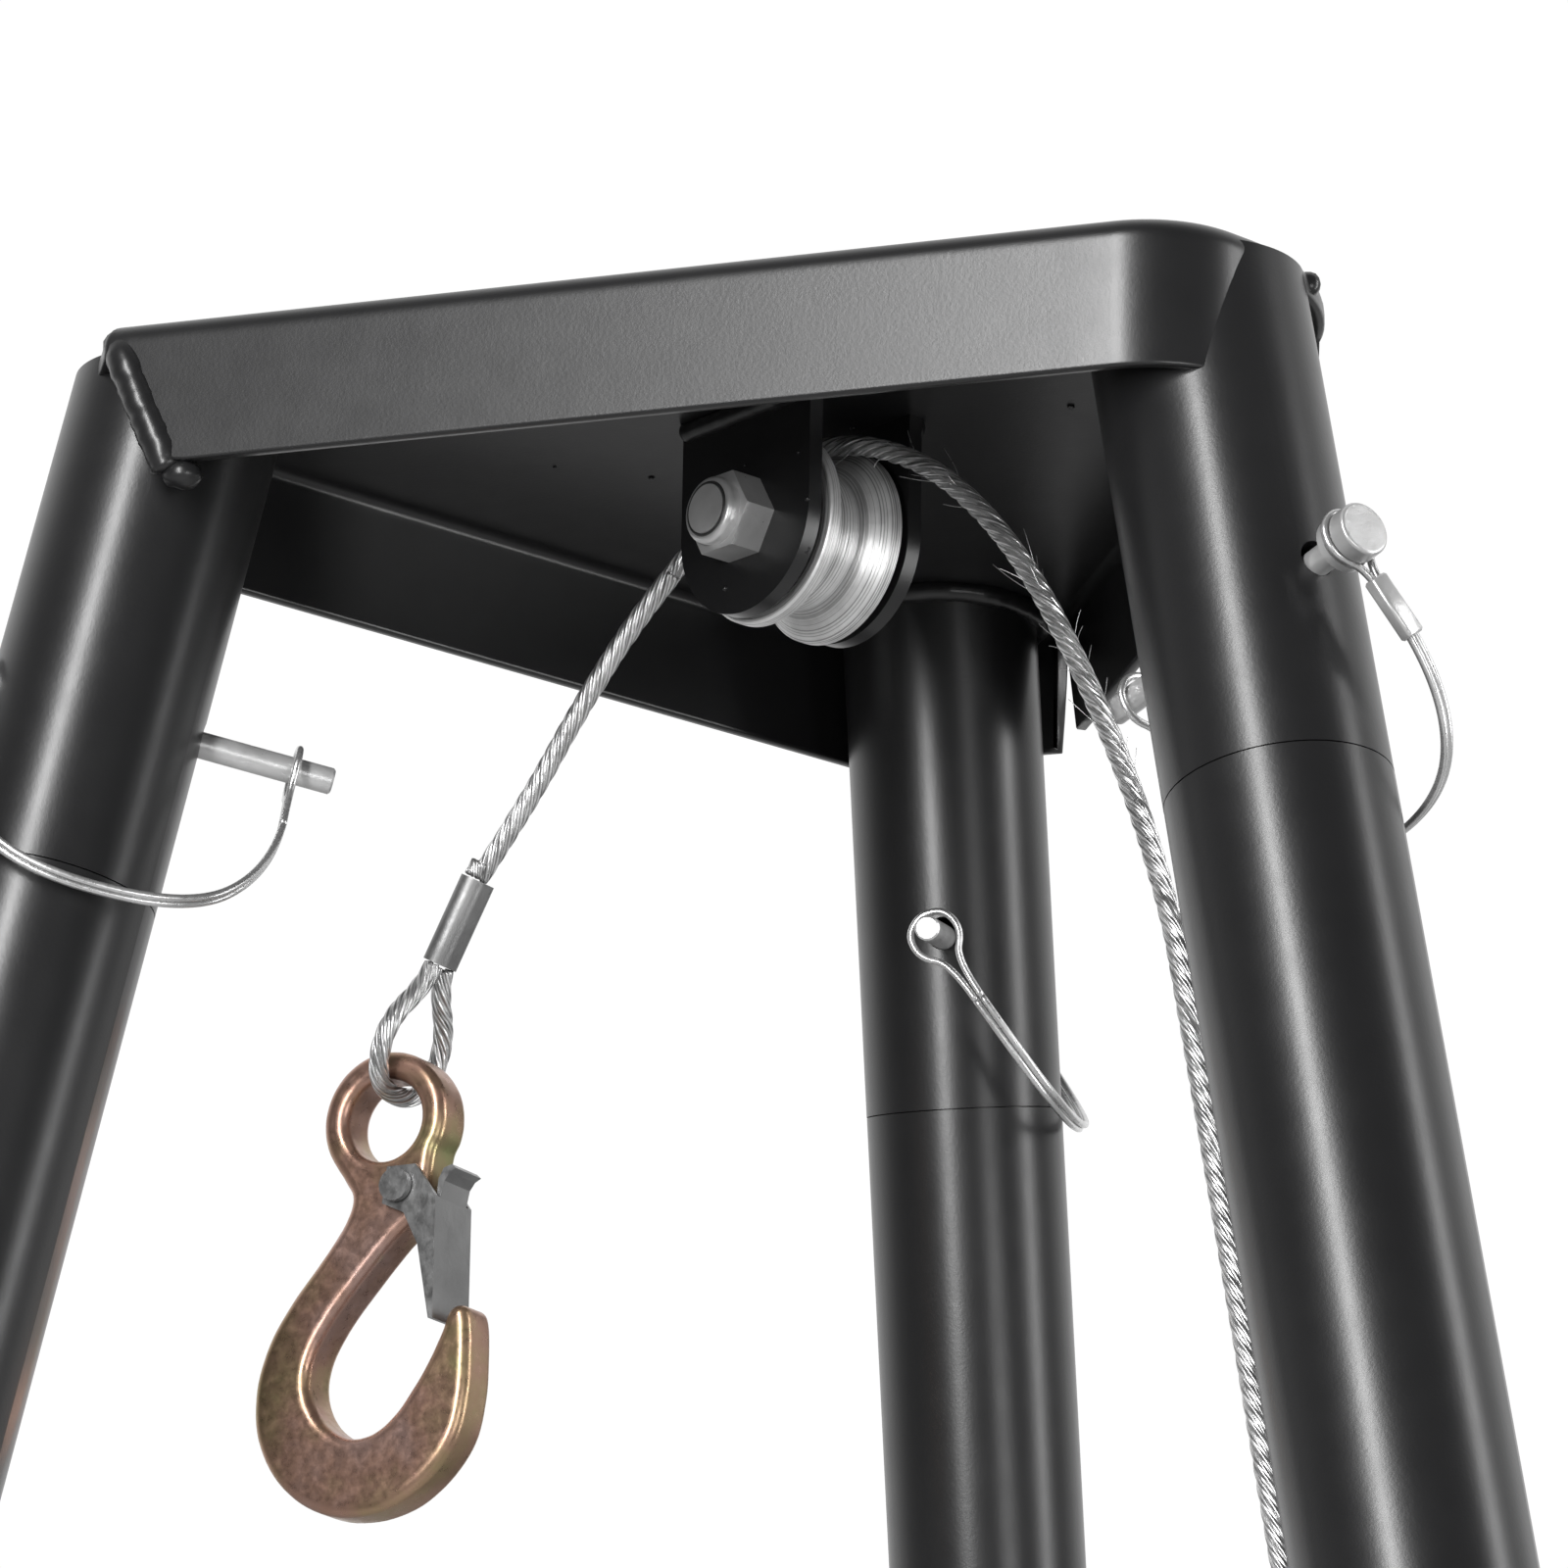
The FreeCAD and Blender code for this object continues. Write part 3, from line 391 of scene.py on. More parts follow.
def metal(name, dark, light, rough_low, rough_high, size=600, bumps=0.15, metallic=1.0):
    """Plain metal; size is the scale of its finer noise."""
    mat, tree, bsdf = new_material(name)
    v = coords(tree)
    fine = noise_tex(tree, v, size, 4.0, 0.6)
    broad = noise_tex(tree, v, size / 12, 3.0, 0.6)
    plug(tree, bsdf, Metallic=metallic, Normal=bump(tree, fine, bumps, 0.0004),
         Base_Color=ramp(tree, broad, [(0.3, dark), (0.7, light)]),
         Roughness=grey_ramp(tree, fine, (0.25, rough_low), (0.75, rough_high)))
    return mat


WIRES_ROUND = 6                             # fine wires seen round a strand
WIRE_TWIST = 30.0                           # their turns in a metre


def rope_metal():
    """Metal with fine wires laid along a strand, from its UV, with painted shade in the grooves between the
    wires.
    """
    mat, tree, bsdf = new_material("wire_rope")
    tc = tree.nodes.new("ShaderNodeTexCoord")
    sep = tree.nodes.new("ShaderNodeSeparateXYZ")
    tree.links.new(tc.outputs["UV"], sep.inputs["Vector"])
    total = maths(tree, "ADD", sep.outputs["X"], maths(tree, "MULTIPLY", sep.outputs["Y"], WIRE_TWIST))
    wave = maths(tree, "COSINE", maths(tree, "MULTIPLY", total, WIRES_ROUND * 2 * math.pi))
    unit = maths(tree, "MULTIPLY_ADD", wave, 0.5, 0.5)
    broad = noise_tex(tree, tc.outputs["Object"], 160, 3.0, 0.6)
    plug(tree, bsdf, Metallic=0.9, Normal=bump(tree, unit, 0.7, 0.0003),
         # painted shade: the base colour darkens from 0.80 on the wires' crowns to 0.34 in the grooves
         # between them
         Base_Color=multiply(tree, 0.55, grey_ramp(tree, unit, (0.0, 0.34), (0.55, 0.80)),
                             grey_ramp(tree, broad, (0.3, 0.62), (0.65, 1.0))),
         Roughness=grey_ramp(tree, broad, (0.3, 0.28), (0.7, 0.43)))
    return mat


def nylon():
    mat, tree, bsdf = new_material("nylon")
    fine = noise_tex(tree, coords(tree), 700)
    plug(tree, bsdf, Roughness=0.35, Normal=bump(tree, fine, 0.1, 0.0002),
         Base_Color=grey_ramp(tree, fine, (0.3, 0.02), (0.7, 0.035)))
    return mat


def chromate():
    """Yellow chromate in patches of green, gold and copper."""
    mat, tree, bsdf = new_material("hook_plating")
    v = coords(tree)
    broad = noise_tex(tree, v, 26, 4.0, 0.65)
    fine = noise_tex(tree, v, 420, 4.0, 0.6)
    tints = [(0.28, (0.30, 0.31, 0.14)), (0.42, (0.38, 0.27, 0.16)), (0.55, (0.40, 0.24, 0.18)),
             (0.68, (0.44, 0.29, 0.25)), (0.8, (0.40, 0.36, 0.22))]
    plug(tree, bsdf, Metallic=0.85, Base_Color=ramp(tree, broad, tints),
         Normal=bump(tree, fine, 0.12, 0.0004),
         Roughness=grey_ramp(tree, fine, (0.3, 0.24), (0.7, 0.42)))
    return mat


def sheave_metal():
    """Metal with lathe rings round the sheave's axis."""
    mat, tree, bsdf = new_material("sheave_metal")
    point = coords(tree)
    vector = "ShaderNodeVectorMath"
    arm = maths(tree, "SUBTRACT", point, SHEAVE_CENTRE, kind=vector, output="Vector")
    comb = tree.nodes.new("ShaderNodeCombineXYZ")
    plug(tree, comb, X=maths(tree, "DOT_PRODUCT", arm, heading(60), kind=vector),
         Y=maths(tree, "LENGTH", arm, kind=vector))
    rings = noise_tex(tree, comb.outputs["Vector"], 2600, 2.0, 0.6)
    broad = noise_tex(tree, point, 90, 3.0, 0.6)
    plug(tree, bsdf, Metallic=0.6, Normal=bump(tree, rings, 0.5, 0.0003),
         Base_Color=multiply(tree, 0.8, grey_ramp(tree, broad, (0.3, 0.62), (0.7, 0.86)),
                             grey_ramp(tree, rings, (0.36, 0.30), (0.52, 1.0))),
         Roughness=grey_ramp(tree, rings, (0.3, 0.28), (0.7, 0.48)))
    return mat

SHEAVE_CENTRE = in_plane(-30, SHEAVE_OUT, -SHEAVE_DROP)
MATERIALS = {
    "powder_coat": powder_coat(),
    "zinc": metal("zinc", grey(0.44), grey(0.68), 0.26, 0.42, metallic=0.62),
    "wire": metal("wire", grey(0.50), grey(0.78), 0.22, 0.38, metallic=0.85),
    "winch_steel": metal("winch_steel", grey(0.42), grey(0.60), 0.28, 0.5, size=300),
    "wire_rope": rope_metal(),
    "sheave_metal": sheave_metal(),
    "bronze": metal("bronze", (0.36, 0.24, 0.12), (0.5, 0.36, 0.2), 0.3, 0.5),
    "grip_plastic": metal("grip_plastic", grey(0.012), grey(0.02), 0.4, 0.6, metallic=0.0),
    "ferrule_metal": metal("ferrule_metal", grey(0.22), grey(0.34), 0.4, 0.6, size=240, bumps=0.4),
    "hook_plating": chromate(),
    "nylon": nylon(),
    "latch_zinc": metal("latch_zinc", grey(0.24), grey(0.40), 0.3, 0.5, size=260, bumps=0.3),
}
SLOT_OF = {s["node"]: s["material_slot"] for s in frame["record"]["subparts"]}


def finish_with(obj, slot):
    obj.data.materials.clear()
    obj.data.materials.append(MATERIALS[slot])


for name, obj in nodes.items():
    obj.data.materials.clear()
    obj.data.materials.append(MATERIALS[SLOT_OF[name]])

# ---------------------------------------------------------------- ropes
rise = strands("rope_rise_strands", rise_line, ROPE_D)
finish_with(rise, "wire_rope")
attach(rise, "frame")
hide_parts("rope_rise")

fall = strands("rope_fall_strands", fall_line, ROPE_D, phase=0.6)
finish_with(fall, "wire_rope")
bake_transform(fall)
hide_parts("rope_fall")


# layers on the drum: piece, radius, sideways from and to, turns with a pitch, level turns after them
WOUND_LAYERS = (("rope_turns_inner", 0.0319, -0.0222, 0.0222, 8, 0.5),
                ("rope_turns_outer", 0.0368, -0.0222, 0.0, 4, 1.0))
TURN_STEPS = 110


def wound_rope():
    """Turns on the drum: a full layer, then an outer one that ends in the turn the rope leaves by."""
    top, x, y, z = leg_axes("right")
    centre = top - z * WINCH_STATION + x * DRUM_OUT
    for name, radius, y0, y1, pitched, level in WOUND_LAYERS:
        line = []
        count = pitched * TURN_STEPS
        for i in range(count + 1 + int(level * TURN_STEPS)):
            a = math.pi + 2 * math.pi * i / TURN_STEPS
            side = y0 + (y1 - y0) * min(i, count) / count
            line.append(centre + x * (radius * math.cos(a)) + z * (radius * math.sin(a)) + y * side)
        obj = strands(name, line, ROPE_D, sides=6)
        finish_with(obj, "wire_rope")
        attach(obj, "drum")
        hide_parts("rope_wound")


wound_rope()

# ---------------------------------------------------------------- hook, rope eye, bails, beads
# from here on, sizes are in millimetres in each piece's own axes, and place() turns them into metres
MM = 0.001
HOOK_HEADING = -9.7
HOOK_TILT = math.radians(3.0)
EYE_OUTER, EYE_HOLE = 17.0, 10.2            # radii of the hook's eye
HOOK_HALF, HOOK_EDGE = 6.3, 2.9             # half its thickness, and the rounding of its edges


def place(axes, x, y, z):
    o, ax, ay, az = axes
    return o + ax * (x * MM) + ay * (y * MM) + az * (z * MM)


def hook_axes():
    """The eye's middle, with x towards the hook's tip, y down and z across."""
    x = heading(HOOK_HEADING)
    up = Vector((0, 0, 1))
    down = (up * -math.cos(HOOK_TILT) - x * math.sin(HOOK_TILT)).normalized()
    x2 = (x * math.cos(HOOK_TILT) - up * math.sin(HOOK_TILT)).normalized()
    return fall_point(*HOOK_EYE), x2, down, x2.cross(down)


HOOK = hook_axes()


def closed_smooth(points, per):
    """Closed Catmull-Rom curve through the points, per steps from one to the next."""
    out = []
    n = len(points)
    for i in range(n):
        p0, p1, p2, p3 = (points[(i + j) % n] for j in (-1, 0, 1, 2))
        for k in range(per):
            t = k / per
            out.append(tuple(0.5 * (2 * b + (c - a) * t + (2 * a - 5 * b + 4 * c - d) * t * t
                                    + (3 * b - a - 3 * c + d) * t ** 3)
                             for a, b, c, d in zip(p0, p1, p2, p3)))
    return out


def ring_points(radius, angles):
    return [(radius * math.cos(math.radians(a)), radius * math.sin(math.radians(a))) for a in angles]


def hook_mesh():
    """Flat-faced forging with well rounded edges, pierced by its eye."""
    # from the eye down the throat, round the bowl's inside to the tip, and back up outside
    body = [(14.2, 15.2), (13.8, 19.0), (11.6, 24.2), (5.0, 30.2), (-3.6, 40.4), (-10.6, 49.8),
            (-14.8, 58.6), (-14.8, 66.6), (-10.8, 73.4), (-4.0, 77.4), (2.6, 77.0), (8.6, 73.0),
            (13.4, 66.6), (17.4, 59.6), (20.6, 52.6), (22.0, 48.2), (24.2, 46.4), (26.8, 47.0),
            (28.2, 50.4), (28.9, 58.0), (29.0, 67.6), (27.0, 78.0), (20.9, 87.0), (11.6, 93.8),
            (0.0, 96.6), (-11.6, 94.9), (-22.0, 88.1), (-28.7, 77.6), (-30.3, 65.4), (-27.6, 54.0),
            (-22.0, 44.0), (-14.6, 34.0), (-9.0, 25.4), (-7.4, 19.4), (-9.6, 15.4)]
    outline = closed_smooth(ring_points(EYE_OUTER, range(142, 402, 13)) + body, 6)
    hole = ring_points(EYE_HOLE, range(0, 360, 4))
    curve = bpy.data.curves.new("hook_outline", "CURVE")
    curve.dimensions = "2D"
    curve.fill_mode = "BOTH"
    for loop in (outline, hole):
        s = curve.splines.new("POLY")
        s.points.add(len(loop) - 1)
        for p, (x, y) in zip(s.points, loop):
            p.co = (x, y, 0, 1)
        s.use_cyclic_u = True
    curve.bevel_depth = HOOK_EDGE
    curve.bevel_resolution = 9
    curve.offset = -HOOK_EDGE
    curve.extrude = HOOK_HALF - HOOK_EDGE
    raw = bpy.data.objects.new("hook_raw", curve)
    bpy.context.collection.objects.link(raw)
    bpy.context.view_layer.update()
    graph = bpy.context.evaluated_depsgraph_get()
    mesh = bpy.data.meshes.new_from_object(raw.evaluated_get(graph), depsgraph=graph)
    bpy.data.objects.remove(raw)
    bpy.data.curves.remove(curve)
    flat = [abs(p.normal.z) > 0.999 for p in mesh.polygons]
    for v in mesh.vertices:
        x, y, z = v.co
        at = Vector((x, y, z))
        lump = 0.12 * noise.noise(at * 0.16) + 0.04 * noise.noise(at * 0.7)
        v.co = place(HOOK, x + v.normal.x * lump, y + v.normal.y * lump, z)
    mesh.polygons.foreach_set("use_smooth", [not f for f in flat])
    obj = bpy.data.objects.new("hook_forging", mesh)
    bpy.context.collection.objects.link(obj)
    finish_with(obj, "hook_plating")
    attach(obj, "hook")
    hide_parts("hook_body")


EYE_LIFT = 0.0071                           # the loop's lowest point above the middle of the hook's eye
FACING = heading(260)                       # the way the loop's flat side looks
DEAD_END_D, DEAD_END_OUT = 0.0042, 0.0030   # the dead end's width, and its distance from the rope's axis


def eye_axes():
    """The loop's lowest point, its axes, and the distance up to the ferrule."""
    low = HOOK[0] + Vector((0, 0, EYE_LIFT))
    bottom = fall_point(*FERRULE_END)
    z = (bottom - low).normalized()
    y = z.cross(FACING).normalized()
    return low, y.cross(z), y, z, (bottom - low).length


def rope_eye():
    """Loop under the ferrule, and the rope's dead end above it."""
    o, x, _, z, top = eye_axes()
    h = top / MM - 0.7
    half = [(2.52, h), (3.4, h - 5.0), (12.3, 17.5), (13.0, 7.5), (7.2, 0.0)]
    both = half + [(-a, b) for a, b in reversed(half)]
    line = spline_points("eye_line", [o + x * (a * MM) + z * (b * MM) for a, b in both], 0.0007)
    obj = strands("rope_eye_strands", line, ROPE_D, lay=0.030, phase=0.3)
    finish_with(obj, "wire_rope")
    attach(obj, "hook_block")
    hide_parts("rope_eye")
    high = fall_point(*FERRULE_TOP)
    along = (high - fall_point(*FERRULE_END)).normalized()
    stub = [high + FACING * DEAD_END_OUT + along * (0.0009 * i) - FACING * (0.00006 * i) for i in range(5)]
    dead = strands("rope_dead_end", stub, DEAD_END_D, lay=0.02, phase=1.0)
    finish_with(dead, "wire_rope")
    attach(dead, "hook_block")


# lock pins and their bails: places are from the leg's axis, x inwards along the pin
PIN_STATIONS = {"head": 88.0, "mid": 1195.0}
PIN_TURN = {"right": -8.0, "left": 0.0, "back": 9.0}
PIN_TIP = {"right": 50.0, "left": 57.4, "back": 57.4}
PIN_LENGTH = 92.0
PIN_HEAD = 9.0
TIP_LOOP = 9.5                              # from the pin's tip to the loop round it
BAIL_DROOP = {"right": 57.0, "left": 58.0, "back": 58.0}
BAIL_REACH = 59.0
BAIL_LEVEL = {"right": -1, "left": -1, "back": 1}
WIRE_R = 0.9
WIRE_GAP = 0.92                             # half the distance between the bail's two wires


def pin_axes(leg, station):
    top, x, y, z = leg_axes(leg)
    a = math.radians(PIN_TURN[leg])
    x2 = x * math.cos(a) + y * math.sin(a)
    y2 = y * math.cos(a) - x * math.sin(a)
    return top - z * (station * MM), x2, y2, z


def bail_axes(leg, station):
    """Just under the pin, with x along it, y out along the drooping bail and z across."""
    o, x, y, z = pin_axes(leg, station)
    level = y * BAIL_LEVEL[leg]
    d = math.radians(BAIL_DROOP[leg])
    down = level * math.cos(d) - z * math.sin(d)
    return o - z * MM, x, down, x.cross(down)


def teardrop(x, inner, stem, ends):
    """Loop of wire round the pin at x, whose two ends run out along the bail."""
    r = inner + WIRE_R
    side = [(ends, WIRE_GAP), (stem + 1.15 * r, WIRE_GAP), (stem + 0.35 * r, r),
            (stem - 0.65 * r, 0.95 * r), (stem - 1.06 * r, 0.3 * r)]
    both = side + [(y, -z) for y, z in reversed(side)]
    return [(x, y, z) for y, z in both]


def rounded_box(axes, lo, hi, r):
    """Points and faces of a box with its long (y) edges rounded and its ends drawn in."""
    verts, faces = [], []
    ring = []
    for cx, cz, a0 in ((hi[0] - r, hi[2] - r, 0), (lo[0] + r, hi[2] - r, 90),
                       (lo[0] + r, lo[2] + r, 180), (hi[0] - r, lo[2] + r, 270)):
        for k in range(6):
            a = math.radians(a0 + 18 * k)
            ring.append((cx + r * math.cos(a), cz + r * math.sin(a)))
    mx, mz = (lo[0] + hi[0]) / 2, (lo[2] + hi[2]) / 2
    for y, share in ((lo[1], 0.82), (lo[1] + 0.5, 1.0), (hi[1] - 0.5, 1.0), (hi[1], 0.82)):
        for x, z in ring:
            verts.append(place(axes, mx + (x - mx) * share, y, mz + (z - mz) * share))
    ring_faces(faces, 0, 4, len(ring))
    end_faces(faces, 0, 4, len(ring))
    return verts, faces


def bail(kind, leg):
    """Double wire from the pin's head over to its tip, with a sleeve at the head's end."""
    axes = bail_axes(leg, PIN_STATIONS[kind])
    x_head = PIN_TIP[leg] - PIN_LENGTH + PIN_HEAD - 3.2
    x_tip = PIN_TIP[leg] - TIP_LOOP
    width = x_tip - x_head
    arch = [(x_head, 22, 0), (x_head + 1, 40, 0), (x_head + 0.26 * width, BAIL_REACH, 0),
            (x_tip - 0.22 * width, BAIL_REACH - 1, 0), (x_tip - 1, 38, 0), (x_tip, 21, 0)]
    lines = [[(x, y, z + w) for x, y, z in arch] for w in (WIRE_GAP, -WIRE_GAP)]
    lines.append(teardrop(x_tip, 5.4, 2.2, 21))
    lines.append(teardrop(x_head, 5.3, 0.0, 12))
    verts, faces, uvs = [], [], []
    for line in lines:
        pts = spline_points("bail_line", [place(axes, *p) for p in line], 0.0012)
        tube_parts(pts, WIRE_R * MM, 12, verts, faces, uvs)
    wires = mesh_object(kind + "_bail_wires_" + leg, verts, faces, True, uvs)
    finish_with(wires, "wire")
    body = kind + "_bail_" + leg
    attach(wires, body)
    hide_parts(body)
    verts, faces = rounded_box(axes, (x_head - 1.7, 10, -2.7), (x_head + 1.7, 25, 2.7), 0.9)
    sleeve = mesh_object(kind + "_bail_sleeve_" + leg, verts, faces)
    finish_with(sleeve, "zinc")
    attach(sleeve, body)


# weld beads (metres, from the head's top)
BEAD_STEP = 0.0011
BEAD_SIDES = 14
RIPPLE = 0.0045
UNDER_PAN = -0.0046
SOCKET_RUN_R = 0.0264
EAR_HALF, EAR_RUN = 0.018, 0.0222           # half the gap between the ears; half a bead's length


def bead(points, radius, verts, faces, uvs, seed):
    """A hand-laid weld bead: ripples and lumps along its run."""
    rng = random.Random(seed)
    line = even([Vector(p) for p in points], BEAD_STEP)
    start = len(verts)
    tube_parts(line, radius, BEAD_SIDES, verts, faces, uvs)
    for i, middle in enumerate(line):
        run = i * BEAD_STEP
        lump = 0.16 * noise.noise(Vector((run * 160, seed, 0)))
        pulse = 1.0 + 0.05 * abs(math.sin(math.pi * run / RIPPLE)) + lump
        if i in (0, len(line) - 1):
            pulse *= 0.5
        for k in range(start + i * BEAD_SIDES, start + (i + 1) * BEAD_SIDES):
            verts[k] = middle + (verts[k] - middle) * pulse * (1 + 0.05 * rng.random())


def arc_points(centre, radius, a0, a1, ax, ay):
    out = []
    for i in range(61):
        a = math.radians(a0 + (a1 - a0) * i / 60)
        out.append(centre + ax * (radius * math.cos(a)) + ay * (radius * math.sin(a)))
    return out


def blob(at, radius, verts, faces, uvs, squash=1.0, seed=1):
    """An uneven ball, flattened upright by squash."""
    base = len(verts)
    rows, cols = 8, 12
    for i in range(rows + 1):
        la = math.pi * i / rows
        for k in range(cols):
            lo = 2 * math.pi * k / cols
            d = Vector((math.sin(la) * math.cos(lo), math.sin(la) * math.sin(lo), math.cos(la) * squash))
            f = 1 + 0.18 * noise.noise(d * 1.7 + Vector((seed, 0, 0)))
            verts.append(at + d * (radius * f))
            uvs.append((0, 0))
    ring_faces(faces, base, rows + 1, cols, flip=True)


def weld_beads():
    """Beads round the sockets, along the ears and at the pan's left corner, with spatter."""
    verts, faces, uvs = [], [], []
    up = Vector((0, 0, 1))
    for index, leg in enumerate(LEG_AZIMUTH):
        out = heading(LEG_AZIMUTH[leg])
        across = up.cross(out)
        centre = ORIGIN + out * (LEG_TOP + 0.0009) + up * UNDER_PAN
        bead(arc_points(centre, SOCKET_RUN_R, 40, 320, out, across), 0.0026, verts, faces, uvs, 3 + index)
    n60, n30 = heading(60), heading(-30)
    for s in (-EAR_HALF, EAR_HALF):
        ends = [ORIGIN + n60 * (s * 1.03) + n30 * (SHEAVE_OUT + run) + up * UNDER_PAN
                for run in (-EAR_RUN, EAR_RUN)]
        bead(ends, 0.0023, verts, faces, uvs, 9 + s)
    closing = [(-0.1265, -0.1010, -0.0030), (-0.1235, -0.1045, -0.0095), (-0.1185, -0.1050, -0.0210),
               (-0.1130, -0.1045, -0.0330), (-0.1115, -0.1030, -0.0375)]
    bead([ORIGIN + Vector(p) for p in closing], 0.0040, verts, faces, uvs, 21)
    blob(ORIGIN + Vector((-0.1085, -0.1025, -0.0385)), 0.0046, verts, faces, uvs, 0.7, 4)
    rng = random.Random(5)
    for i in range(9):
        x, y = rng.uniform(-0.085, 0.085), rng.uniform(-0.085, 0.03)
        at = ORIGIN + Vector((x, y, -0.0032))
        blob(at, rng.uniform(0.0004, 0.0010), verts, faces, uvs, 0.6, i)
    for i in range(7):
        s = rng.uniform(-0.020, 0.034)
        at = ORIGIN + n60 * -0.0181 + n30 * (SHEAVE_OUT + s * 0.7) + up * rng.uniform(-0.012, -0.05)
        blob(at, rng.uniform(0.0003, 0.0008), verts, faces, uvs, 1.0, i + 40)
    obj = mesh_object("weld_beads_laid", verts, faces, True, uvs)
    finish_with(obj, "powder_coat")
    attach(obj, "frame")
    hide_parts("weld_beads")


# head pan (millimetres): six sides (outward azimuth, distance of the outside face), counter-clockwise
PAN_SIDES = ((-90, 106.8), (-30, 167.0), (30, 106.8), (90, 164.0), (150, 106.8), (210, 164.0))
PAN_CORNER_R = (30.0, 52.0, 2.0, 2.0, 2.0, 2.0)
PAN_BEND, PAN_WALL = 6, 3
SKIRT = 36.1
STUB = 8.6
# slanted skirt ends: (side, end) with the end's reach at the top and at the bottom
SKIRT_ENDS = {(0, -1): (121.0, 110.0), (4, 1): (126.0, 122.0),
              (2, 1): (118.0, 107.0), (2, -1): (112.0, 104.0)}
# the skirt's depth where each side ends and where the next one starts
CORNER_SKIRTS = ((SKIRT, SKIRT), (STUB, STUB), (STUB, SKIRT), (SKIRT, SKIRT), (STUB, STUB), (STUB, STUB))


def pan_corner(i, inset, share):
    """Point of the rounded corner after side i, for an inset outline."""
    (a1, d1), (a2, d2) = PAN_SIDES[i], PAN_SIDES[(i + 1) % 6]
    r = max(PAN_CORNER_R[i] - inset, 0.0)
    n1, n2 = heading(a1), heading(a2)
    e1, e2 = d1 - inset - r, d2 - inset - r
    det = n1.x * n2.y - n1.y * n2.x
    centre = Vector(((e1 * n2.y - e2 * n1.y) / det, (e2 * n1.x - e1 * n2.x) / det, 0))
    return centre + heading(a1 + 60 * share) * r


def pan_stations():
    """Places round the pan: a function of inset for the point, and the skirt's depth there."""
    out = []
    for i in range(6):
        across = Vector((0, 0, 1)).cross(heading(PAN_SIDES[i][0]))
        ends = [pan_corner(i - 1, 0, 1).dot(across), pan_corner(i, 0, 0).dot(across)]
        stops = set(ends) | {ends[0] + (ends[1] - ends[0]) * k / 24 for k in range(25)}
        for end in (-1, 1):
            if (i, end) in SKIRT_ENDS:
                stops |= {end * reach for reach in SKIRT_ENDS[(i, end)] if reach < abs(ends[(end + 1) // 2])}
        first, last = CORNER_SKIRTS[i - 1][1], CORNER_SKIRTS[i][0]
        for t in sorted(stops):
            share = (t - ends[0]) / (ends[1] - ends[0])
            depth = first + (last - first) * share if i % 2 else SKIRT
            end = 1 if t > 0 else -1
            if (i, end) in SKIRT_ENDS:
                top, bottom = SKIRT_ENDS[(i, end)]
                depth = SKIRT - (SKIRT - STUB) * min(max((abs(t) - bottom) / (top - bottom), 0), 1)
            out.append((lambda q, i=i, s=share: pan_corner(i - 1, q, 1).lerp(pan_corner(i, q, 0), s), depth))
        d0, d1 = CORNER_SKIRTS[i]
        steps = 14 if PAN_CORNER_R[i] > 5 else 3
        for k in range(1, steps):
            out.append((lambda q, i=i, s=k / steps: pan_corner(i, q, s), d0 + (d1 - d0) * k / steps))
    return out


def head_pan():
    """Folded pan with a bend round its top edge and skirts that end on a slant."""
    stations = pan_stations()
    inner = PAN_BEND - PAN_WALL
    quarter = [math.radians(90 * k / 8) for k in range(9)]
    # rows as (inset from the outside, height at a given skirt depth): down the outside, up the inside
    rows = [(PAN_BEND * (1 - math.sin(a)), lambda d, a=a: -PAN_BEND * (1 - math.cos(a))) for a in quarter]
    rows += [(0.0, lambda d: -6.8), (0.0, lambda d: -d + 1.0), (0.0, lambda d: -d + 0.4), (0.4, lambda d: -d)]
    rows += [(2.6, lambda d: -d), (3.0, lambda d: -d + 0.4), (3.0, lambda d: -d + 1.0), (3.0, lambda d: -6.8)]
    rows += [(PAN_BEND - inner * math.sin(a), lambda d, a=a: -PAN_BEND + inner * math.cos(a))
             for a in reversed(quarter)]
    count = len(stations)
    verts = []
    for inset, height in rows:
        for at, depth in stations:
            verts.append(ORIGIN + (at(inset) + Vector((0, 0, height(depth)))) * MM)
    faces = []
    ring_faces(faces, 0, len(rows), count, flip=True)
    faces.append(tuple(range(count)))
    faces.append(tuple(reversed(range((len(rows) - 1) * count, len(rows) * count))))
    obj = mesh_object("head_pan", verts, faces)
    for poly in list(obj.data.polygons)[-2:]:
        poly.use_smooth = False
    finish_with(obj, "powder_coat")
    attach(obj, "frame")
    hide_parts("head_plate")


def stray_wires():
    """Broken wires that stand off the rope where it nears the sheave."""
    verts, faces, uvs = [], [], []
    rng = random.Random(12)
    for _ in range(34):
        i = int(len(rise_line) * rng.uniform(0.80, 0.955))
        t = (rise_line[i + 2] - rise_line[i - 2]).normalized()
        d = Vector((rng.uniform(-1, 1), rng.uniform(-1, 1), rng.uniform(-1, 1)))
        d = (d - t * d.dot(t)).normalized()
        size = rng.uniform(0.003, 0.009)
        bend = rng.uniform(-0.5, 0.9)
        pts = []
        for k in range(9):
            s = k / 8
            # both choices are 1: the draw is kept because the wires after it depend on it
            along = size * (s + bend * s * s) * rng.choice((1, 1))
            pts.append(rise_line[i] + d * (0.0021 + size * 0.55 * s) + t * along)
        tube_parts(pts, 0.00007, 5, verts, faces, uvs)
    obj = mesh_object("rope_stray_wires", verts, faces, True, uvs)
    finish_with(obj, "wire")
    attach(obj, "frame")


NUT_SEAT = 18.0                             # from the sheave's middle to the nut, millimetres


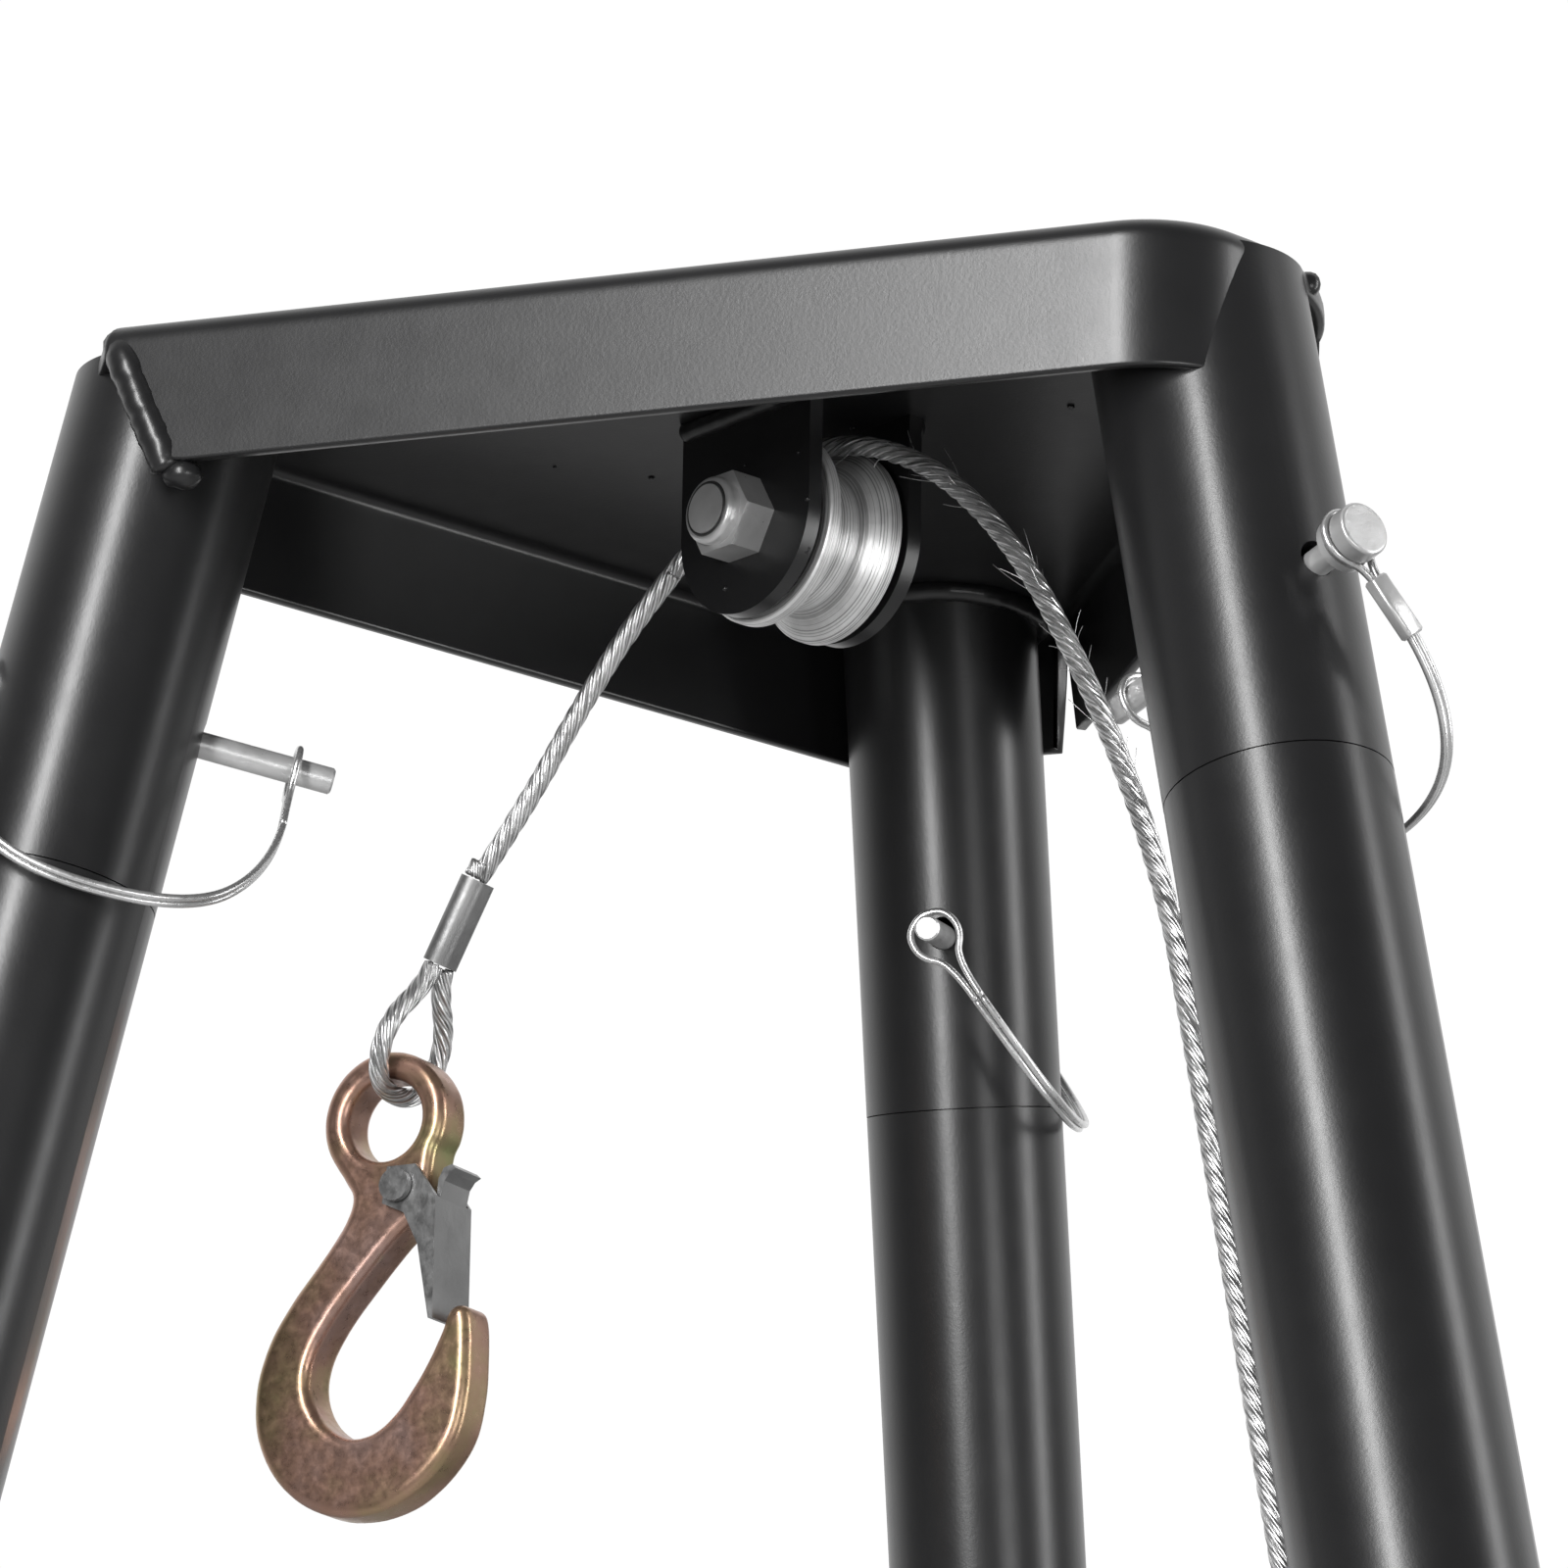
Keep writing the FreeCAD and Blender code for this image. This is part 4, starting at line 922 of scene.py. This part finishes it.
def lock_nut_ring():
    """Nylon collar of the lock nut, seen round the bolt's end."""
    verts, faces = [], []
    x, y, z = heading(-30), heading(60), Vector((0, 0, 1))
    profile = [(6.03, 12.02), (6.12, 12.22), (6.45, 12.26), (6.75, 12.16), (6.85, 11.90)]
    n = 48
    for r, out in profile:
        middle = SHEAVE_CENTRE - y * ((NUT_SEAT + out) * MM)
        for k in range(n):
            a = 2 * math.pi * k / n
            verts.append(middle + x * (r * MM * math.cos(a)) + z * (r * MM * math.sin(a)))
    ring_faces(faces, 0, len(profile), n)
    obj = mesh_object("lock_nut_collar", verts, faces)
    obj.data.materials.append(MATERIALS["nylon"])
    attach(obj, "frame")


lock_nut_ring()
hook_mesh()
rope_eye()
for leg in LEG_AZIMUTH:
    for kind in PIN_STATIONS:
        bail(kind, leg)
head_pan()
weld_beads()
stray_wires()

# ---------------------------------------------------------------- floor, light, world (metres)
def floor():
    s, z = 14.0, -0.0005
    obj = mesh_object("floor", [(-s, -s, z), (s, -s, z), (s, s, z), (-s, s, z)], [(0, 1, 2, 3)], False)
    mat, tree, bsdf = new_material("floor_grey")
    patches = noise_tex(tree, coords(tree), 3)
    plug(tree, bsdf, Base_Color=grey_ramp(tree, patches, (0.3, 0.60), (0.7, 0.66)), Roughness=0.7)
    obj.data.materials.append(mat)


def world():
    """Dark behind the camera and white beyond the object."""
    w = bpy.data.worlds.new("studio")
    scene.world = w
    w.use_nodes = True
    tree = w.node_tree
    tree.nodes.clear()
    out = tree.nodes.new("ShaderNodeOutputWorld")
    bg = tree.nodes.new("ShaderNodeBackground")
    way = tree.nodes.new("ShaderNodeTexCoord").outputs["Generated"]
    ahead = maths(tree, "DOT_PRODUCT", way, FORWARD, kind="ShaderNodeVectorMath")
    half = maths(tree, "MULTIPLY_ADD", ahead, 0.5, 0.5)
    shades = grey_ramp(tree, half, (0.0, 0.045), (0.40, 0.045), (0.60, 0.30), (0.80, 1.02))
    plug(tree, bg, Color=shades, Strength=1.0)
    tree.links.new(bg.outputs["Background"], out.inputs["Surface"])


def softbox(name, at, width, height, power):
    """Rectangular light turned towards the head; power in watts."""
    data = bpy.data.lights.new(name, "AREA")
    data.shape = "RECTANGLE"
    data.size = width
    data.size_y = height
    data.energy = power
    obj = bpy.data.objects.new(name, data)
    bpy.context.collection.objects.link(obj)
    d = (LIT - at).normalized()
    obj.matrix_world = Matrix.Translation(at) @ d.to_track_quat("-Z", "Y").to_matrix().to_4x4()


def from_head(side, back, up):
    """A place given from the head: to the camera's right, towards the camera, up."""
    flat = Vector((FORWARD.x, FORWARD.y, 0)).normalized()
    across = Vector((RIGHT.x, RIGHT.y, 0)).normalized()
    return ORIGIN + across * side - flat * back + Vector((0, 0, up))


LIT = ORIGIN + Vector((0, 0, -0.15))
floor()
world()
softbox("key_strip", from_head(-0.85, 1.9, 0.35), 0.24, 2.0, 62)
softbox("front_fill", from_head(1.1, 2.4, -0.7), 1.0, 0.8, 14)
softbox("right_strip", from_head(1.7, 0.35, 0.0), 0.3, 1.8, 16)

scene.view_settings.view_transform = "Standard"
scene.view_settings.look = "None"
